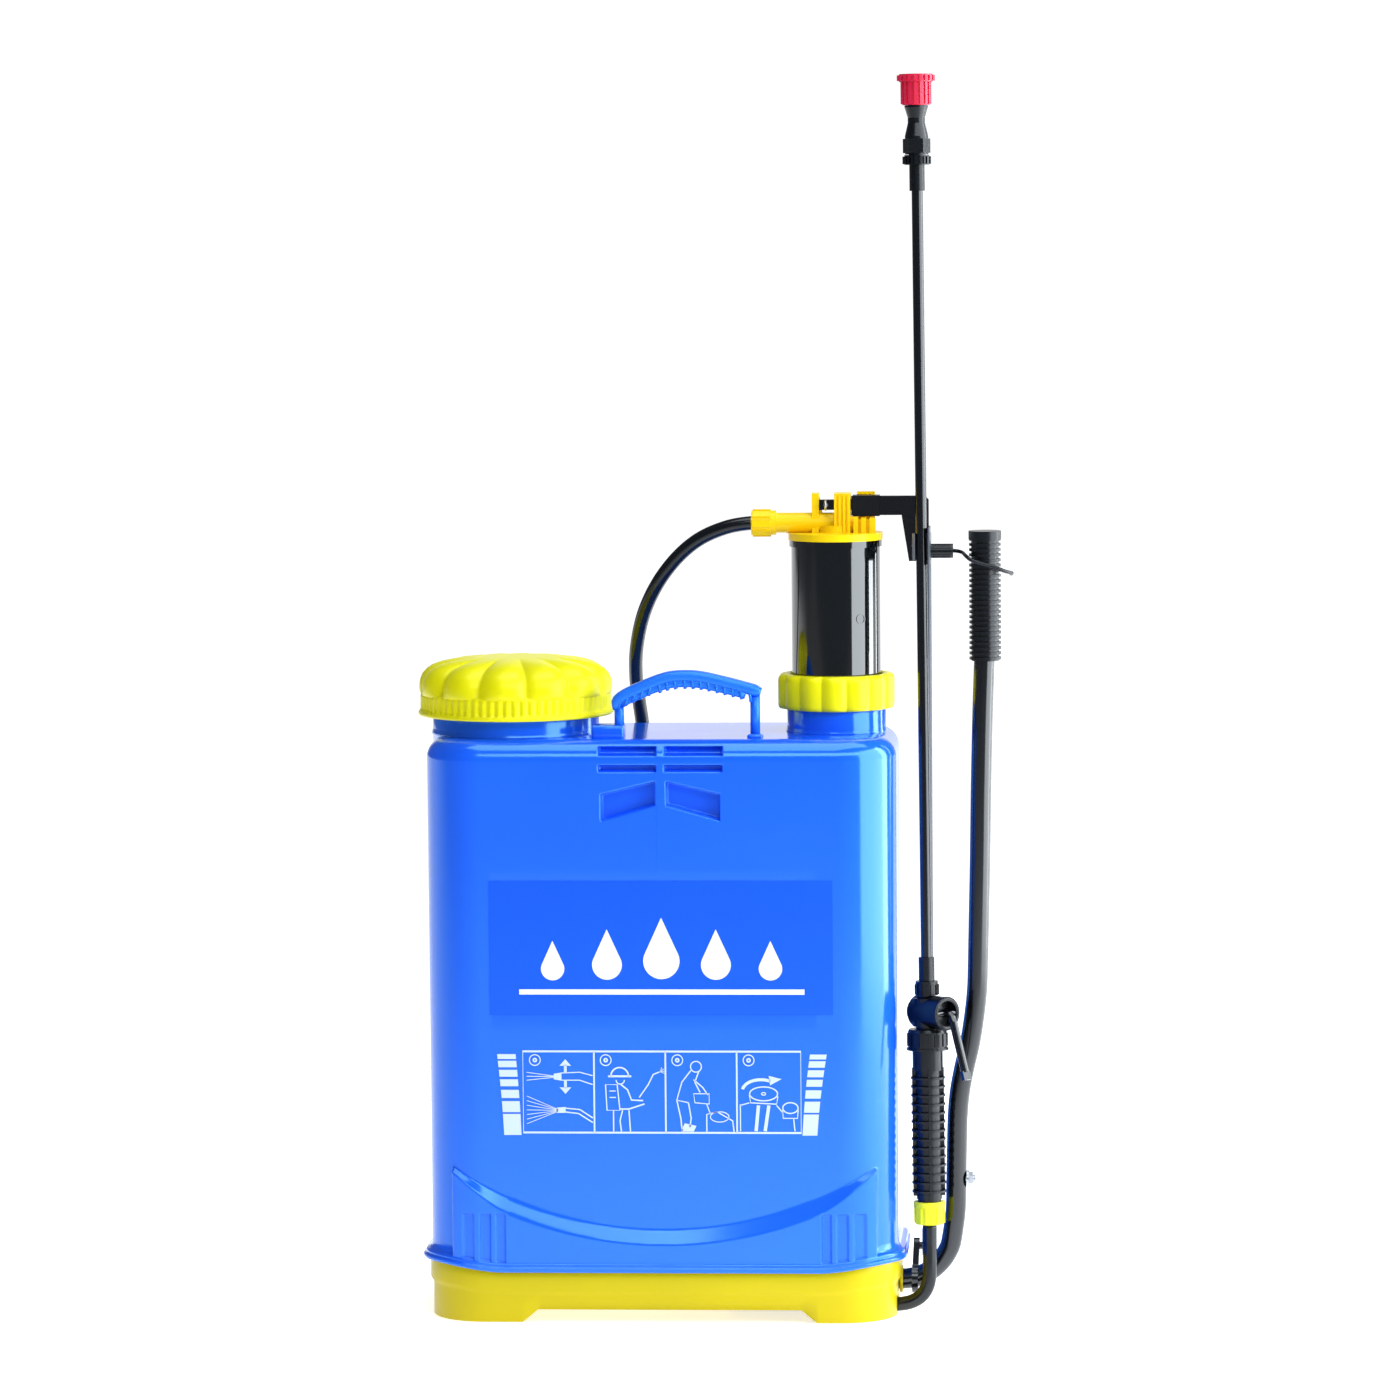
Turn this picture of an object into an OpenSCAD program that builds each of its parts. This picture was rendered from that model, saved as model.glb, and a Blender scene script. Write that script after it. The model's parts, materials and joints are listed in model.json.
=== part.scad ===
// Backpack sprayer: blue tank on a yellow base, hand pump worked by a side lever, hose, gun and lance.
// Millimetres. X to the lever side, Y to the wearer's side, Z up from the floor.

/* [Tank] */
// outside width of the tank wall
tank_w = 364; // [320:2:400]
// outside depth of the tank wall
tank_d = 166; // [140:2:200]
// radius of the upright corners
tank_r = 44; // [25:1:60]
// height of the tank's top above the floor
tank_top = 452; // [400:1:500]
// wall thickness of the tank
wall = 3; // [2:0.5:5]
// radius of the shoulder under the top
shoulder_r = 16; // [8:1:25]

/* [Base] */
// height of the base under the tank
base_h = 40; // [30:1:60]
// height of the arch between the feet
foot_h = 10; // [5:1:20]
// wall thickness of the base
base_wall = 3.5; // [2.5:0.5:6]

/* [Filler] */
// filler neck's distance from the tank's middle
filler_x = -116; // [-125:1:-90]
// outside radius of the filler neck
filler_r = 65; // [45:1:70]
// outside radius of the filler cap
cap_r = 76; // [55:1:80]

/* [Pump] */
// pump axis distance from the tank's middle
pump_x = 134.5; // [110:0.5:140]
// outside radius of the moving air chamber
chamber_r = 34.6; // [25:0.1:40]
// height of the air chamber's top rim
chamber_top = 601; // [560:1:640]
// pump stroke
stroke = 36.7; // [25:0.1:60]

/* [Lever] */
// lever shaft's distance in front of the tank's middle
shaft_y = -20; // [-60:1:20]
// lever shaft's height above the floor
shaft_z = 24; // [23:0.5:34]
// outside radius of the lever tube
lever_r = 8; // [6:0.5:10]
// crank radius
crank_r = 48; // [30:1:60]
// crank angle above level at rest
crank_a = 22.5; // [15:0.5:30]

/* [Lance] */
// lean of the lance towards the wearer
lance_lean = 1.5; // [0:0.1:4]
// lean of the lance towards the tank
lance_tilt = 0.45; // [0:0.05:1]
// outside radius of the lance tube
lance_r = 4.3; // [3:0.1:6]
// length of the lance tube
lance_len = 620; // [400:1:900]

/* [Hidden] */
origin_x = 40.2;
origin_y = 15.5;
neck_r = 38.5;
neck_top = 476;
base_w = tank_w + 3;
base_d = tank_d + 3;
base_r = tank_r + 1.5;
front = -tank_d / 2;
side = tank_w / 2;
pin_y = shaft_y + crank_r * cos(crank_a);
pin_z = shaft_z + crank_r * sin(crank_a);
rod_y = shaft_y + crank_r * (1 + cos(crank_a)) / 2;
rod_x = 204;
lever_x = 250.6;
strap_x = 80;
knob_z = 592.6;
gun_foot = [206, -38, 70.6];

module place() { translate([-origin_x, -origin_y, 0]) children(); }

module on_gun() { translate(gun_foot) rotate([-lance_lean, -lance_tilt, 0]) children(); }

module plan(w, d, r) {
    square([w - 2 * r, d], center = true);
    square([w, d - 2 * r], center = true);
    for (x = [-1, 1], y = [-1, 1])
        translate([x * (w / 2 - r), y * (d / 2 - r)])
            circle(r, $fn = 64);
}

module slab(w, d, r, z0, z1) {
    translate([0, 0, z0])
        linear_extrude(z1 - z0)
            plan(w, d, r);
}

module ring(ro, ri, z0, z1, n = 64) {
    translate([0, 0, z0])
        difference() {
            cylinder(r = ro, h = z1 - z0, $fn = n);
            translate([0, 0, -1])
                cylinder(r = ri, h = z1 - z0 + 2, $fn = n);
        }
}

module rod(r, z0, z1, n = 48) {
    translate([0, 0, z0])
        cylinder(r = r, h = z1 - z0, $fn = n);
}

module box(x0, x1, y0, y1, z0, z1) {
    translate([x0, y0, z0])
        cube([x1 - x0, y1 - y0, z1 - z0]);
}

// a bar along X
module xrod(r, x0, x1, y, z, n = 48) {
    translate([x0, y, z])
        rotate([0, 90, 0])
            cylinder(r = r, h = x1 - x0, $fn = n);
}

// a bar along Y
module yrod(r, y0, y1, x, z, n = 48) {
    translate([x, y1, z])
        rotate([90, 0, 0])
            cylinder(r = r, h = y1 - y0, $fn = n);
}

// closed tube swept through the points
module swept(pts, r, n = 12) {
    last = len(pts) - 1;
    function dir(i) = let (d = pts[min(i + 1, last)] - pts[max(i - 1, 0)]) d / norm(d);
    function side_of(i) = let (d = dir(i), c = cross(d, [0.31, 0.9, 0.3])) c / norm(c);
    rings = [for (i = [0:last], k = [0 : n - 1])
        let (u = side_of(i), v = cross(dir(i), u), a = k * 360 / n) pts[i] + r * (cos(a) * u + sin(a) * v)];
    walls = [for (i = [0 : last - 1], k = [0 : n - 1])
        [i * n + k, (i + 1) * n + k, (i + 1) * n + (k + 1) % n, i * n + (k + 1) % n]];
    polyhedron(rings, concat([[for (k = [0 : n - 1]) k]], walls,
        [[for (k = [n - 1 : -1 : 0]) last * n + k]]), convexity = 6);
}

// box with rounded upright corners and a quarter-round shoulder
module shouldered(w, d, r, s, z0, z1) {
    slab(w, d, r, z0, z1 - s);
    slab(w - 2 * s, d - 2 * s, r - s, z0, z1);
    for (y = [-1, 1])
        xrod(s, r - w / 2, w / 2 - r, y * (d / 2 - s), z1 - s);
    for (x = [-1, 1])
        yrod(s, r - d / 2, d / 2 - r, x * (w / 2 - s), z1 - s);
    for (x = [-1, 1], y = [-1, 1])
        translate([x * (w / 2 - r), y * (d / 2 - r), z1 - s])
            rotate_extrude($fn = 64)
                translate([r - s, 0])
                    intersection() {
                        circle(s, $fn = 48);
                        translate([s - r, -s])
                            square([r, 2 * s]);
                    }
}

// slanted pocket of the front finger grip, grown by g
module grip_pocket(g) {
    translate([0, front + 11 + g, 0])
        rotate([90, 0, 0])
            linear_extrude(14 + g)
                polygon([[4 - g, 402 - g * 1.1], [46 + g, 390 - g * 1.1],
                    [46 + g, 411 + g], [4 - g, 421 + g]]);
}

module grip_recess(g) {
    for (m = [0, 1])
        translate([2, 0, 0])
            mirror([m, 0, 0]) {
                box(3 - g, 48 + g, front - 3, front + 11 + g, 440 - g, 447 + g);
                box(3 - g, 48 + g, front - 3, front + 9 + g, 428 - g, 433 + g);
                grip_pocket(g);
            }
}

// hollow in the wearer's side that fits the back
module back_hollow(r) {
    translate([0, tank_d / 2 + 378, 0])
        rod(r, 62, 424, 200);
}

module crescent() {
    translate([2, front + 4, 0])
        rotate([90, 0, 0])
            linear_extrude(6)
                difference() {
                    translate([0, 63 + 259])
                        circle(259, $fn = 200);
                    translate([0, 73 + 304])
                        circle(304, $fn = 200);
                    translate([-300, 121])
                        square([600, 600]);
                }
}

module tank() {
    color([0.16, 0.4, 0.95])
        difference() {
            union() {
                shouldered(tank_w, tank_d, tank_r, shoulder_r, base_h, tank_top);
                slab(tank_w + 14, tank_d + 14, tank_r + 7, base_h, base_h + 3);
                slab(tank_w + 10, tank_d + 10, tank_r + 5, base_h + 2, base_h + 7);
                translate([filler_x, 0, 0])
                    rod(filler_r, tank_top - 14, neck_top, 96);
                translate([pump_x, 0, 0])
                    rod(neck_r, tank_top - 14, neck_top, 96);
                crescent();
                for (m = [0, 1], i = [0, 1, 2])
                    mirror([m, 0, 0])
                        intersection() {
                            slab(tank_w + 2.4, tank_d + 2.4, tank_r + 1.2, 46, 84);
                            box(121 + i * 13, 130 + i * 13, -100, -40, 45, 84);
                        }
                box(-52, -26, -62, -44, tank_top - 4, tank_top + 10);
                box(68, 80, -62, -44, tank_top - 4, tank_top + 3);
            }
            difference() {
                shouldered(tank_w - 2 * wall, tank_d - 2 * wall, tank_r - wall,
                    shoulder_r - wall, base_h + wall, tank_top - wall);
                back_hollow(400 + wall);
                grip_recess(wall);
            }
            back_hollow(400);
            grip_recess(0);
            translate([filler_x, 0, 0])
                rod(filler_r - wall, tank_top - 20, neck_top + 1, 96);
            translate([pump_x, 0, 0])
                rod(neck_r - 1.5, tank_top - 20, neck_top + 1, 96);
            for (x = [-31, 74])
                translate([x, -53, 0])
                    rod(3.4, tank_top - 2, tank_top + 20, 32);
        }
}

module base_screw_spots() {
    for (x = [-150, 150], y = [-55, 55])
        translate([x, y, 0])
            children();
}

module base() {
    color([0.94, 0.84, 0.04])
        difference() {
            union() {
                difference() {
                    union() {
                        slab(base_w - 4, base_d - 4, base_r - 2, 0, 26);
                        slab(base_w, base_d, base_r, 24, base_h);
                    }
                    slab(base_w - 4 - 2 * base_wall, base_d - 4 - 2 * base_wall, base_r - 2 - base_wall,
                        -1, base_h - 3);
                    slab(264, 126, 12, 30, base_h + 1);
                }
                for (x = [40, 150])
                    box(x, x + 8, -base_d / 2 + 4, 10, 13, base_h - 1);
                for (x = [-strap_x, strap_x])
                    box(x - 20, x + 20, base_d / 2 - 4, base_d / 2 + 11, 28, 35);
                xrod(12, base_w / 2 - 12, base_w / 2 - 2, shaft_y, shaft_z);
                base_screw_spots()
                    rod(8, 8, base_h - 1);
            }
            for (m = [0, 1])
                mirror([0, m, 0])
                    translate([0, 200, 0])
                        rotate([90, 0, 0])
                            linear_extrude(200)
                                polygon([[-108, -1], [-96, foot_h], [108, foot_h], [120, -1]]);
            for (m = [0, 1])
                mirror([m, 0, 0])
                    translate([0, 0, 0])
                        rotate([90, 0, 90])
                            linear_extrude(300)
                                polygon([[-34, -1], [-28, foot_h - 4], [46, foot_h - 4], [52, -1]]);
            xrod(lever_r + 0.05, 0, 250, shaft_y, shaft_z);
            box(150, 200, -46, -28, -1, 14.5);
            box(-36, -6, 60, 100, -1, 22);
            for (x = [-strap_x, strap_x])
                box(x - 15, x + 15, base_d / 2 + 6.5, base_d / 2 + 9.5, 20, 40);
            base_screw_spots() {
                rod(2.6, 0, base_h + 1);
                rod(5, 0, 12);
            }
        }
}

module base_screws() {
    color([0.6, 0.6, 0.62])
        base_screw_spots() {
            difference() {
                rod(4.4, 9.2, 12);
                box(-0.6, 0.6, -5, 5, 9, 10.2);
            }
            rod(2.55, 11, base_h);
        }
}

module carry_handle() {
    color([0.2, 0.5, 0.98]) {
        translate([0, -45, 0])
            rotate([90, 0, 0])
                linear_extrude(16)
                    polygon([[-37, 474], [-37, 482], [-32, 487], [6, 503.5], [28, 504], [80, 493], [83, 489],
                        [80, 480], [73, 480], [28, 490], [6, 490], [-14, 481], [-25, 474]]);
        for (i = [0:9])
            box(-21 + i * 10, -18 + i * 10, -62.5, -43.5, i < 3 ? 478 + i * 4 : i < 6 ? 488 : 500 - i * 2.2,
                i < 3 ? 487 + i * 4 : i < 6 ? 500 : 507 - i * 2);
        for (x = [-31, 74])
            translate([x, -53, 0]) {
                rod(3.8, tank_top + 10.2 * (x < 0 ? 1 : 0) + 3.2 * (x > 0 ? 1 : 0), 483, 32);
                rod(3.35, tank_top - 2, 475, 32);
            }
    }
}

module filler_cap() {
    color([0.96, 0.88, 0.1])
        translate([filler_x, 0, 0])
            difference() {
                union() {
                    rod(cap_r - 2, 466, 480, 96);
                    rod(cap_r, 466, 469, 96);
                    for (i = [0:71])
                        rotate([0, 0, i * 5])
                            box(cap_r - 3, cap_r - 0.6, -1, 1, 466, 480);
                    rod(cap_r - 1, 479, 484, 96);
                    for (i = [0:11])
                        rotate([0, 0, i * 30])
                            translate([cap_r - 17, 0, 0])
                                rod(14, 483, 499, 48);
                    rod(cap_r - 8, 483, 502, 96);
                    translate([0, 0, 502])
                        scale(1)
                            cylinder(r1 = cap_r - 8, r2 = cap_r - 22, h = 6, $fn = 96);
                    rod(cap_r - 24, 507, 511, 96);
                }
                rod(filler_r + 0.6, 460, 478.4, 96);
                rod(filler_r - 12, 478, 504, 96);
            }
}

module cap_gasket() {
    color([0.1, 0.1, 0.1])
        translate([filler_x, 0, 0])
            ring(filler_r - 0.4, filler_r - 10, 476.2, 478.3, 96);
}

module strainer() {
    color([0.12, 0.13, 0.15])
        translate([filler_x, 0, 0])
            difference() {
                union() {
                    rod(filler_r - 3.4, 398, 475, 64);
                }
                rod(filler_r - 5.6, 400, 480, 64);
                for (i = [0:11])
                    rotate([0, 0, i * 15])
                        box(-80, 80, -3, 3, 410, 445);
                for (i = [-3:3])
                    box(-44, 44, i * 13 - 4, i * 13 + 4, 390, 405);
            }
}

module pump_collar() {
    color([0.96, 0.88, 0.1])
        translate([pump_x, 0, 0])
            difference() {
                union() {
                    rod(43, 470, 497, 96);
                    for (i = [0:13])
                        rotate([0, 0, i * 360 / 14])
                            translate([38.5, 0, 0])
                                rod(7.5, 473, 494, 48);
                }
                rod(neck_r + 0.4, 460, 485.2, 96);
                rod(36.2, 484, 500, 96);
            }
}

module pump_barrel() {
    color([0.85, 0.87, 0.9])
        translate([pump_x, 0, 0]) {
            ring(neck_r, chamber_r + 0.4, neck_top, 479);
            ring(36.8, chamber_r + 0.4, 318, neck_top + 0.5);
            ring(36.8, 19.9, 315, 318.5);
            ring(22.5, 20, 104, 318);
            ring(22.5, 5, 100, 104.5);
            ring(8, 5, 86, 101);
        }
}

module collar_bush() {
    color([0.1, 0.1, 0.1])
        translate([pump_x, 0, 0])
            ring(neck_r, chamber_r + 0.06, 479, 485, 96);
}

module foot_valve_ball() {
    color([0.75, 0.75, 0.78])
        translate([pump_x, 0, 108.7])
            sphere(6.5, $fn = 48);
}

module foot_strainer() {
    color([0.12, 0.13, 0.15])
        translate([pump_x, 0, 0])
            difference() {
                rod(14, 62, 86, 48);
                rod(12, 64, 84, 48);
                rod(5, 80, 90, 48);
                for (i = [0:5])
                    rotate([0, 0, i * 30])
                        box(-20, 20, -1.5, 1.5, 67, 81);
            }
}

module air_chamber() {
    color([0.04, 0.04, 0.05])
        translate([pump_x, 0, 0])
            difference() {
                union() {
                    rod(chamber_r, 380, chamber_top - 0.1, 96);
                    rod(chamber_r + 1.6, chamber_top - 5, chamber_top - 0.1, 96);
                    rotate([0, 0, -54])
                        translate([chamber_r - 0.4, 0, 541])
                            rotate([0, 90, 0])
                                ring(4, 3.2, 0, 0.8, 48);
                }
                rod(chamber_r - 3, 384, 610, 96);
                rod(9, 370, 390, 48);
            }
}

module plunger_tube() {
    color([0.8, 0.8, 0.82])
        translate([pump_x, 0, 0]) {
            ring(12, 8.5, 216, 380);
            ring(16, 8.5, 376, 380);
        }
}

module piston() {
    color([0.12, 0.13, 0.15])
        translate([pump_x, 0, 0]) {
            ring(19.6, 6, 204, 208);
            ring(14, 6, 207.5, 212);
            ring(14, 8.5, 211.9, 212.6);
            ring(19.6, 8.5, 212.5, 216);
        }
}

module piston_cup() {
    color([0.55, 0.35, 0.2])
        translate([pump_x, 0, 0])
            ring(19.7, 14.1, 208.2, 212.3);
}

module outlet_ball() {
    color([0.75, 0.75, 0.78])
        translate([pump_x, 0, 216.55])
            sphere(7.5, $fn = 48);
}

// stepped post with upright ribs on its front
module ribbed_post(x0, x1, y0, y1, z1) {
    box(x0, x1, y0, y1, 606, z1);
    for (x = [x0 + 1 : 3.4 : x1 - 1])
        box(x - 0.9, x + 0.9, y0 - 1.5, y1 + 1.5, 606, z1 - 1.5);
}

module pump_head() {
    color([0.98, 0.8, 0.07])
        difference() {
            union() {
                translate([pump_x, 0, 0]) {
                    rod(36.6, chamber_top, 606.5, 96);
                    rod(31.3, chamber_top - 8, chamber_top + 1, 96);
                    rod(13, 606, 612);
                }
                xrod(7.8, 84, 152, 0, 614);
                xrod(9, 84, 88.4, 0, 614);
                box(96, 150, -1.5, 1.5, 606, 612);
                box(116.5, 122, -7, 7, 606, 637);
                translate([0, 1.5, 0])
                    rotate([90, 0, 0])
                        linear_extrude(3)
                            polygon([[121, 606], [121, 634], [122.4, 634], [127, 606]]);
                ribbed_post(134, 146.4, -11, 11, 637);
                ribbed_post(151, 165, 6.5, 12, 637.6);
                box(149, 166, -8.6, -7, 606, 617);
                for (x = [149, 155, 161.4])
                    box(x, x + 3.6, -12, -7, 606, 618.4);
            }
            box(110, 148, -3.15, 3.15, 623.7, 632.3);
            box(146.5, 170, -8, 6.4, 619, 635.6);
            xrod(4, 50, 140, 0, 614);
            translate([pump_x, 0, 0])
                rod(4, 590, 614);
        }
}

module head_seal() {
    color([0.1, 0.1, 0.1])
        translate([pump_x, 0, 0])
            ring(31.58, 31.32, 594, 600, 96);
}

module outlet_nut() {
    color([0.98, 0.86, 0.12])
        translate([69.4, 0, 614])
            rotate([0, 90, 0])
                difference() {
                    union() {
                        rod(9.6, 0, 19);
                        for (i = [0:7])
                            rotate([0, 0, i * 45])
                                box(7, 10.6, -2.6, 2.6, 1, 15);
                    }
                    rod(5.8, -1, 15);
                    rod(9.1, 14.5, 20);
                }
}

module rocker_arm() {
    color([0.05, 0.05, 0.055])
        difference() {
            union() {
                box(121, 168, -3, 3, 624, 632);
                box(147, 200, -3, 3, 619.8, 634.8);
                translate([0, 3, 0])
                    rotate([90, 0, 0])
                        linear_extrude(6)
                            polygon([[186, 634.8], [204, 634.8], [207, 631.7], [207, 584],
                                [191.5, 584], [186, 619.2]]);
            }
            yrod(1.7, -10, 10, 127.3, 628, 24);
            yrod(3.05, -10, 10, 199.5, 596, 32);
        }
}

module arm_sleeve() {
    color([0.03, 0.03, 0.035])
        difference() {
            box(148.2, 169, -6.2, 6.2, 619.2, 635.4);
            box(140, 180, -3.05, 3.05, 619.7, 634.9);
        }
}

module cotter_pin() {
    color([0.7, 0.7, 0.72]) {
        yrod(1.6, -6, 9, 127.3, 628, 24);
        translate([127.3, -9, 628])
            rotate([0, 90, 0])
                rotate_extrude($fn = 32)
                    translate([3.2, 0])
                        circle(1, $fn = 16);
    }
}

module link_rod() {
    color([0.22, 0.23, 0.25])
        difference() {
            union() {
                translate([rod_x, rod_y, 0])
                    rod(4, pin_z + 8, 592, 32);
                translate([198.4, rod_y, 0])
                    box(0, 5.6, -8.5, 8.5, pin_z - 6.5, pin_z + 14);
                box(200, 208, 3.2, rod_y + 3, 588, 604);
                box(193, 206, 3.2, 7.2, 588, 604);
            }
            translate([190, 0, 0])
                for (y = [pin_y, shaft_y + crank_r])
                    xrod(3.35, 0, 20, y, pin_z, 32);
            box(190, 210, pin_y, shaft_y + crank_r, pin_z - 3.35, pin_z + 3.35);
            yrod(3.05, -10, 30, 199.5, 596, 32);
            yrod(6.5, 7.2, 12.6, 199.5, 596);
        }
}

module rod_bolt() {
    color([0.6, 0.6, 0.62]) {
        yrod(3, -6, 14, 199.5, 596, 32);
        yrod(6, 7.3, 11.5, 199.5, 596, 6);
        yrod(5.5, -6.6, -3.2, 199.5, 596, 48);
    }
}

lever_pts = [[36, 26], [100, 26], [160, 26], for (a = [0:8:72]) [184 + 40 * sin(a), 66 - 40 * cos(a)],
    [224.2, 66], [225.9, 80], [226.4, 98], [227, 127], [227.8, 153], [229.6, 172], [233, 190], [237.4, 209],
    [240.8, 230], [243.2, 252], [244, 276], [244.8, 310], [245.8, 352], [246.8, 409], [248.2, 465],
    [249.8, 510], [250.6, 545], [250.6, 603]];

// the same points in space, with the foot let down to the shaft's height
lever_path = [for (p = lever_pts) [p[0], shaft_y, p[1] + min(0, (p[1] - 110) / 84) * (26 - shaft_z)]];

module lever_tube() {
    color([0.04, 0.045, 0.06])
        difference() {
            swept(lever_path, lever_r, 28);
            swept(lever_path, lever_r - 1.5, 20);
            xrod(lever_r - 1.6, 30, 40, shaft_y, shaft_z);
            translate([lever_x, shaft_y, 0])
                rod(lever_r - 1.6, 596, 610);
        }
}

module crank_arm() {
    color([0.05, 0.05, 0.055]) {
        translate([191.6, shaft_y, shaft_z])
            rotate([90, 0, 90])
                linear_extrude(4.8)
                    difference() {
                        union() {
                            circle(11, $fn = 64);
                            rotate([0, 0, crank_a]) {
                                translate([9, -5])
                                    square([crank_r - 9, 10]);
                                translate([crank_r, 0])
                                    circle(6.2, $fn = 48);
                            }
                        }
                        circle(lever_r - 0.2, $fn = 64);
                    }
        xrod(3, 195, 206.5, pin_y, pin_z, 32);
    }
}

module pin_clip() {
    color([0.7, 0.7, 0.72])
        difference() {
            xrod(5.4, 204.4, 205.6, pin_y, pin_z, 32);
            xrod(3.02, 200, 210, pin_y, pin_z, 32);
        }
}

module lever_grip() {
    color([0.07, 0.075, 0.09])
        translate([lever_x, shaft_y, 0])
            difference() {
                union() {
                    rod(10.6, 508, 608);
                    for (i = [0:24])
                        rod(12.3, 509 + i * 4, 511 + i * 4);
                    rod(12.6, 602, 608.5);
                }
                rod(lever_r + 1, 500, 540);
                rod(lever_r + 0.02, 530, 603.1);
            }
}

module lever_screw() {
    color([0.75, 0.75, 0.78])
        translate([226.6, shaft_y, 103])
            rotate([0, 90, 0]) {
                rod(3, -4, 15);
                rod(6.6, 8.3, 9.6);
                rod(5.6, 9.5, 12.8, 6);
            }
}

module lance_clip() {
    color([0.42, 0.43, 0.45])
        difference() {
            union() {
                box(207.05, 208.3, -31, 3, 582.6, 611);
                box(196, 208.3, -4.3, -3.05, 584, 588);
                translate([201.8, -24.4, 0])
                    ring(7.1, 6, 586, 607, 48);
            }
            box(180, 206.2, -45, -27.9, 580, 620);
            xrod(3.05, 200, 212, -14, knob_z, 32);
        }
}

module clip_knob() {
    color([0.05, 0.05, 0.055]) {
        xrod(3, 206, 214, -14, knob_z, 32);
        difference() {
            xrod(5.6, 208.35, 226, -14, knob_z);
            for (i = [0:15])
                translate([0, -14, knob_z])
                    rotate([i * 22.5, 0, 0])
                        box(210, 224, -0.6, 0.6, 5.1, 6.2);
            xrod(1.6, 222, 230, -14, knob_z, 24);
        }
    }
}

hook_pts = [[223, -14, 0], [227.5, -14, 0], [233, -18, -1], [237, -32, -3.5], [241, -35.3, -6],
    [250, -35.8, -9], [260, -35.6, -12], [266, -33, -14.5], [270, -28, -16], [271, -24, -17]];

module retaining_hook() {
    color([0.05, 0.05, 0.055])
        translate([0, 0, knob_z])
            swept(hook_pts, 1.5, 10);
}

module gun_nut() {
    color([0.93, 0.93, 0.25])
        on_gun()
            difference() {
                union() {
                    rod(11, 0, 17.5);
                    for (i = [0:7])
                        rotate([0, 0, i * 45])
                            box(8, 12, -2.8, 2.8, 1, 13.6);
                    rod(12.4, 13, 17.5);
                }
                rod(5.8, -1, 12);
                rod(9.3, 10, 20);
            }
}

module gun_grip() {
    color([0.05, 0.05, 0.055])
        on_gun()
            difference() {
                union() {
                    rod(9, 11.5, 22);
                    rod(9.8, 19.5, 136);
                    rod(11.8, 120, 136);
                    for (i = [0:13])
                        rod(13.3, 25 + i * 6.8, 26.5 + i * 6.8);
                    for (a = [0:90:270])
                        rotate([0, 0, a + 8])
                            box(8, 12.4, -1.1, 1.1, 22, 122);
                }
                rod(5, 0, 140);
            }
}

module gun_collar() {
    color([0.045, 0.045, 0.05])
        on_gun()
            difference() {
                union() {
                    rod(16.4, 136, 137.6);
                    rod(15.2, 136, 150);
                    translate([0, 0, 150])
                        cylinder(r1 = 15.2, r2 = 14.2, h = 2.2, $fn = 48);
                    for (i = [0:11])
                        rotate([0, 0, i * 30])
                            box(12, 15.9, -2, 2, 139, 149);
                }
                rod(9, 130, 160);
            }
}

// places children with X along the valve's cross axis
module on_valve() {
    on_gun()
        translate([0, 0, 165.5])
            rotate([0, 0, -45])
                children();
}

module valve_body() {
    color([0.05, 0.05, 0.055])
        difference() {
            union() {
                on_gun() {
                    rod(8.9, 137, 156);
                    rod(11.5, 154.5, 176.5);
                    rod(6.5, 176, 183);
                }
                on_valve() {
                    xrod(12.9, -9, 22.8, 0, 0);
                    xrod(10.5, -12, -8, 0, 0);
                }
            }
            on_gun()
                rod(4.4, 130, 190);
            on_valve() {
                xrod(10, 14.5, 30, 0, 0);
                xrod(2.06, -8, 20, 0, 0, 32);
            }
        }
}

module valve_pin() {
    color([0.75, 0.75, 0.78])
        on_valve()
            xrod(2, -5, 17.6, 0, 0, 32);
}

trigger_pts = [[18, 0, 0], [22.4, 0, 0], [25.4, 0, -0.8], [27.8, 0, -2.8], [29.4, 0, -6], [31.6, 0, -13],
    [36.4, 0, -27.5], [42, 0, -44]];

module trigger() {
    color([0.05, 0.05, 0.055])
        on_valve() {
            yrod(2.2, -9.7, 9.7, 20, 0, 32);
            swept(trigger_pts, 3.2, 16);
            translate([42, 0, -44])
                rotate([0, -18, 0])
                    box(-1.6, 1.6, -3.8, 3.8, -6, 1);
        }
}

module union_nut() {
    color([0.05, 0.05, 0.055])
        on_gun()
            difference() {
                union() {
                    rod(8.8, 178.6, 189.5);
                    for (i = [0:11])
                        rotate([0, 0, i * 30])
                            box(7, 9.5, -1.3, 1.3, 179, 187);
                }
                rod(6.6, 170, 184);
                rod(lance_r + 0.02, 180, 190);
            }
}

module lance_tube() {
    color([0.04, 0.045, 0.06])
        on_gun()
            ring(lance_r, lance_r - 1.2, 183, 183 + lance_len + 5, 48);
}

module lance_sleeve() {
    color([0.06, 0.06, 0.065])
        on_gun() {
            ring(6.2, lance_r + 0.02, 189.5, 208);
            ring(5.9, lance_r + 0.02, 800, 820);
        }
}

module nozzle_nut() {
    color([0.05, 0.05, 0.055])
        on_gun()
            difference() {
                union() {
                    rod(9.6, 820, 827.5);
                    for (i = [0:19])
                        rotate([0, 0, i * 18])
                            box(8, 11, -0.8, 0.8, 820.6, 826.4);
                }
                rod(6.2, 821, 830);
                rod(lance_r + 0.02, 810, 830);
            }
}

module nozzle_body() {
    color([0.05, 0.05, 0.055])
        on_gun()
            difference() {
                union() {
                    rod(6.1, 821.5, 830);
                    rod(10.6, 829, 840, 6);
                    rod(9, 828, 842);
                    translate([0, 0, 842])
                        cylinder(r1 = 9, r2 = 6.6, h = 10, $fn = 48);
                    rod(6.6, 852, 856);
                    translate([0, 0, 856])
                        cylinder(r1 = 6.6, r2 = 9, h = 8, $fn = 48);
                    rod(9, 864, 865.4);
                    rod(6.5, 865, 876);
                }
                rod(lance_r + 0.02, 800, 823);
                rod(2.5, 820, 880);
            }
}

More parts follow.
